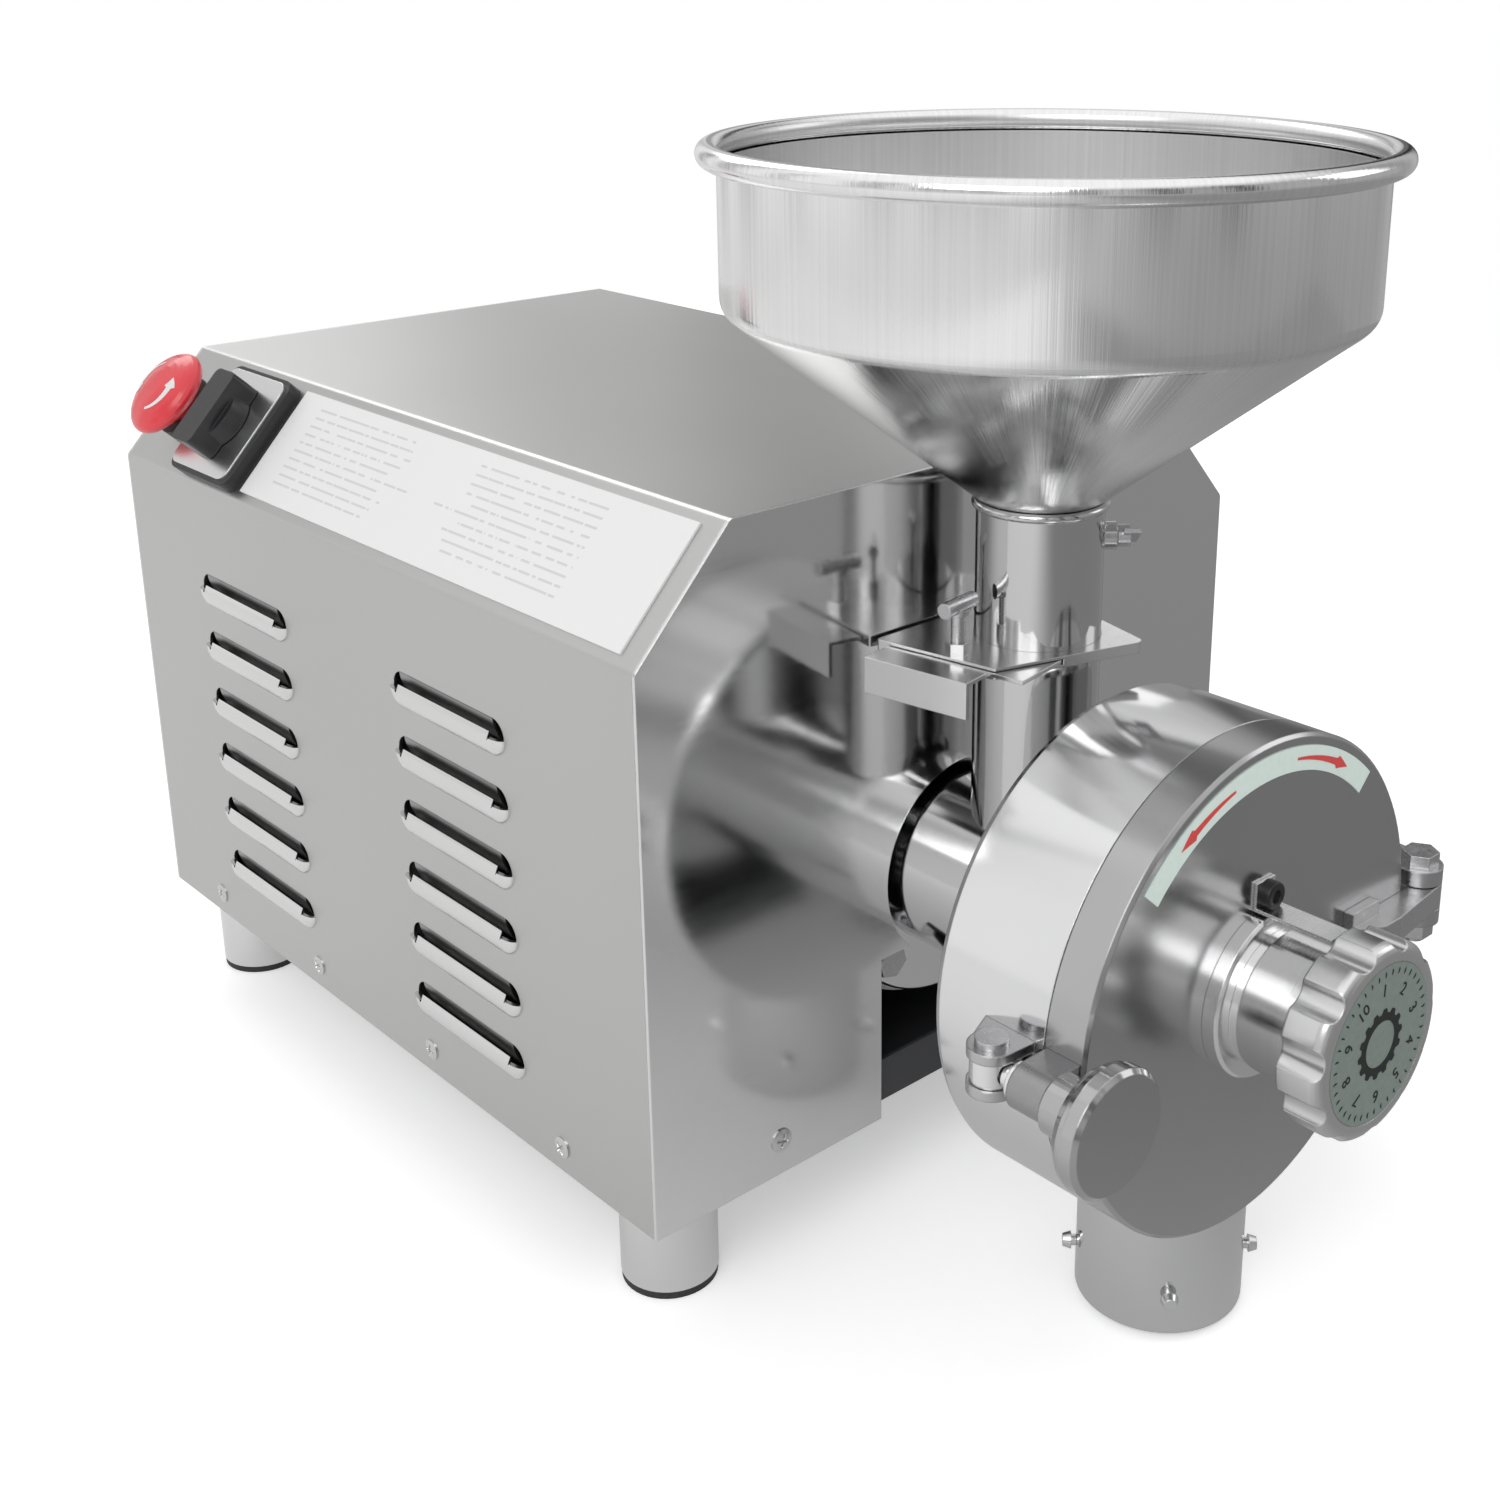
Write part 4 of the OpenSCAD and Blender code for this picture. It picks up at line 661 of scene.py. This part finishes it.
knob_steel = turned("knob_steel", (0.70, 0.70, 0.70), 0.24, 0.3, 0.0009)
dress(knob_steel, "adjust_knob", "adjust_spindle")
dial = Finish("dial_grey", (0.235, 0.285, 0.26), 0.45)
dial.mottled((500, 500, 500), 3, (0.17, 0.215, 0.19), (0.24, 0.285, 0.26), 0.15, 0.0001)
dress(dial, "dial_plate")
DIAL_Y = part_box("dial_plate")[0].y


def facing(y):
    """lay() for marks on a face square to the mill's axis at depth y."""
    return lambda r, a, out: np.stack([AXIS_X + r * np.cos(a), np.full(np.shape(a), y) - out,
                                       AXIS_Z + r * np.sin(a)], -1)


mark = Finish("dial_marks", (0.03, 0.035, 0.035), 0.75)
mark_wear = mark.noise(mark.place(900, 900, 900), detail=3)
mark.shade(mark_wear, (0.006, 0.009, 0.009), (0.02, 0.026, 0.025))
COG_IN, COG_OUT, COG_TOOTH, COG_TEETH = 0.0080, 0.0114, 0.0008, 14
round_dial = np.linspace(0, 2 * np.pi, 289)
teeth = np.clip(np.sin(round_dial * COG_TEETH) * 2, -1, 1)
cog = [ribbon(round_dial, np.full(289, COG_IN), COG_OUT + COG_TOOTH * teeth, facing(DIAL_Y))]
ticks = [ribbon(*band(0.0246, 0.0022, a - 0.011, a + 0.011, 3), facing(DIAL_Y))
         for a in np.linspace(0, 2 * np.pi, 40, endpoint=False)]
surface("dial_cog", *joined(cog + ticks), mark, "adjuster", "dial_grey")


def figures(places, size):
    """Plain numerals as one mesh: each is set by its middle, its right and its up direction."""
    parts = []
    for text, middle, right, up in places:
        curve = bpy.data.curves.new("numeral", "FONT")
        curve.body, curve.size, curve.extrude = text, size, 0.00006
        curve.align_x, curve.align_y = "CENTER", "CENTER"
        curve.resolution_u = 4
        stand_in = bpy.data.objects.new("numeral", curve)
        flat = bpy.data.meshes.new_from_object(stand_in)
        co = np.empty(len(flat.vertices) * 3)
        flat.vertices.foreach_get("co", co)
        co = co.reshape(-1, 3)
        right, up = np.array(right, float), np.array(up, float)
        out = np.cross(right, up)
        points = np.array(middle, float) + co[:, :1] * right + co[:, 1:2] * up + co[:, 2:] * out
        parts.append((points, [list(face.vertices) for face in flat.polygons]))
        bpy.data.objects.remove(stand_in)
        bpy.data.curves.remove(curve)
        bpy.data.meshes.remove(flat)
    return joined(parts)


NUMBER_R = 0.0188
numbers = []
for k in range(10):
    a = math.pi / 2 - 2 * math.pi * k / 10
    numbers.append((str(k + 1), (AXIS_X + NUMBER_R * math.cos(a), DIAL_Y - 0.0001,
                                 AXIS_Z + NUMBER_R * math.sin(a)),
                    (math.sin(a), 0, -math.cos(a)), (math.cos(a), 0, math.sin(a))))
surface("dial_numbers", *figures(numbers, 0.0062), mark, "adjuster", "dial_grey", crease=20)

# Arc label
# A pale mint strip on the cover's face. Two red arrows run to its ends, for the two ways that
# the knob turns.

mint = Finish("arc_mint", (0.74, 0.86, 0.80), 0.35)
mint.mottled((400, 400, 400), 2, (0.70, 0.83, 0.77), (0.79, 0.90, 0.84), 0.05, 0.0001, 0.0002)
dress(mint, "arc_label")
ARC_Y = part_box("arc_label")[0].y
arrow_red = Finish("arrow_red", (0.72, 0.05, 0.05), 0.42)
red_wear = arrow_red.noise(arrow_red.place(700, 700, 700), detail=2)
arrow_red.shade(red_wear, (0.64, 0.035, 0.035), (0.8, 0.08, 0.07))
ARC_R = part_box("front_cover")[1].z - AXIS_Z - 0.0083
red_arrows = [ribbon(*band(ARC_R, 0.0024, math.radians(a), math.radians(b), 30,
                           math.radians(5.5), 2.1), facing(ARC_Y))
              for a, b in ((104, 125), (80, 57))]
surface("arc_arrows", *joined(red_arrows), arrow_red, "cover", "mint_label")

# Grinding parts and motor
# What the housing and the drum hide: cast-iron discs with cut teeth, the feed screw, and an
# induction motor with its copper windings.

iron = Finish("disc_iron", (0.2, 0.2, 0.205), 0.42, 1.0)
iron.grained((350, 350, 350), 4, 0.3, 0.28, 0.35, 0.0003, 0.0006)
dress(iron, "still_disc", "turning_disc")
inner_steel = Finish("inner_steel", (0.5, 0.5, 0.5), 0.3, 1.0)
inner_steel.grained((200, 1200, 200), 3, 0.2, 0.2, 0.2, 0.0001)
dress(inner_steel, "disc_carrier", "feed_screw", "motor_shaft", "bearings")
motor_paint = Finish("motor_paint", (0.12, 0.15, 0.17), 0.45)
motor_paint.mottled((260, 260, 260), 2, (0.1, 0.13, 0.15), (0.15, 0.18, 0.2), 0.2, 0.0003)
dress(motor_paint, "motor_frame", "motor_cradle")
alloy = Finish("motor_alloy", (0.55, 0.56, 0.57), 0.45, 1.0)
alloy.grained((300, 300, 300), 3, 0.25, 0.35, 0.25, 0.0003)
dress(alloy, "bell_front", "bell_rear", "capacitor")
stack = Finish("lamination", (0.32, 0.31, 0.3), 0.5, 1.0)
stack.mottled((40, 2000, 40), 1, (0.2, 0.2, 0.2), (0.42, 0.41, 0.4), 0.3, 0.0002)
dress(stack, "stator_core", "rotor_core")
copper = Finish("winding_copper", (0.62, 0.27, 0.13), 0.35, 1.0)
copper.mottled((900, 120, 900), 2, (0.42, 0.15, 0.07), (0.72, 0.34, 0.18), 0.4, 0.0003)
dress(copper, "windings")
fan_black = Finish("fan_black", (0.03, 0.03, 0.032), 0.5)
fan_skin = fan_black.noise(fan_black.place(500, 500, 500), detail=2)
fan_black.shade(fan_skin, (0.022, 0.022, 0.024), (0.045, 0.045, 0.047))
dress(fan_black, "cooling_fan")
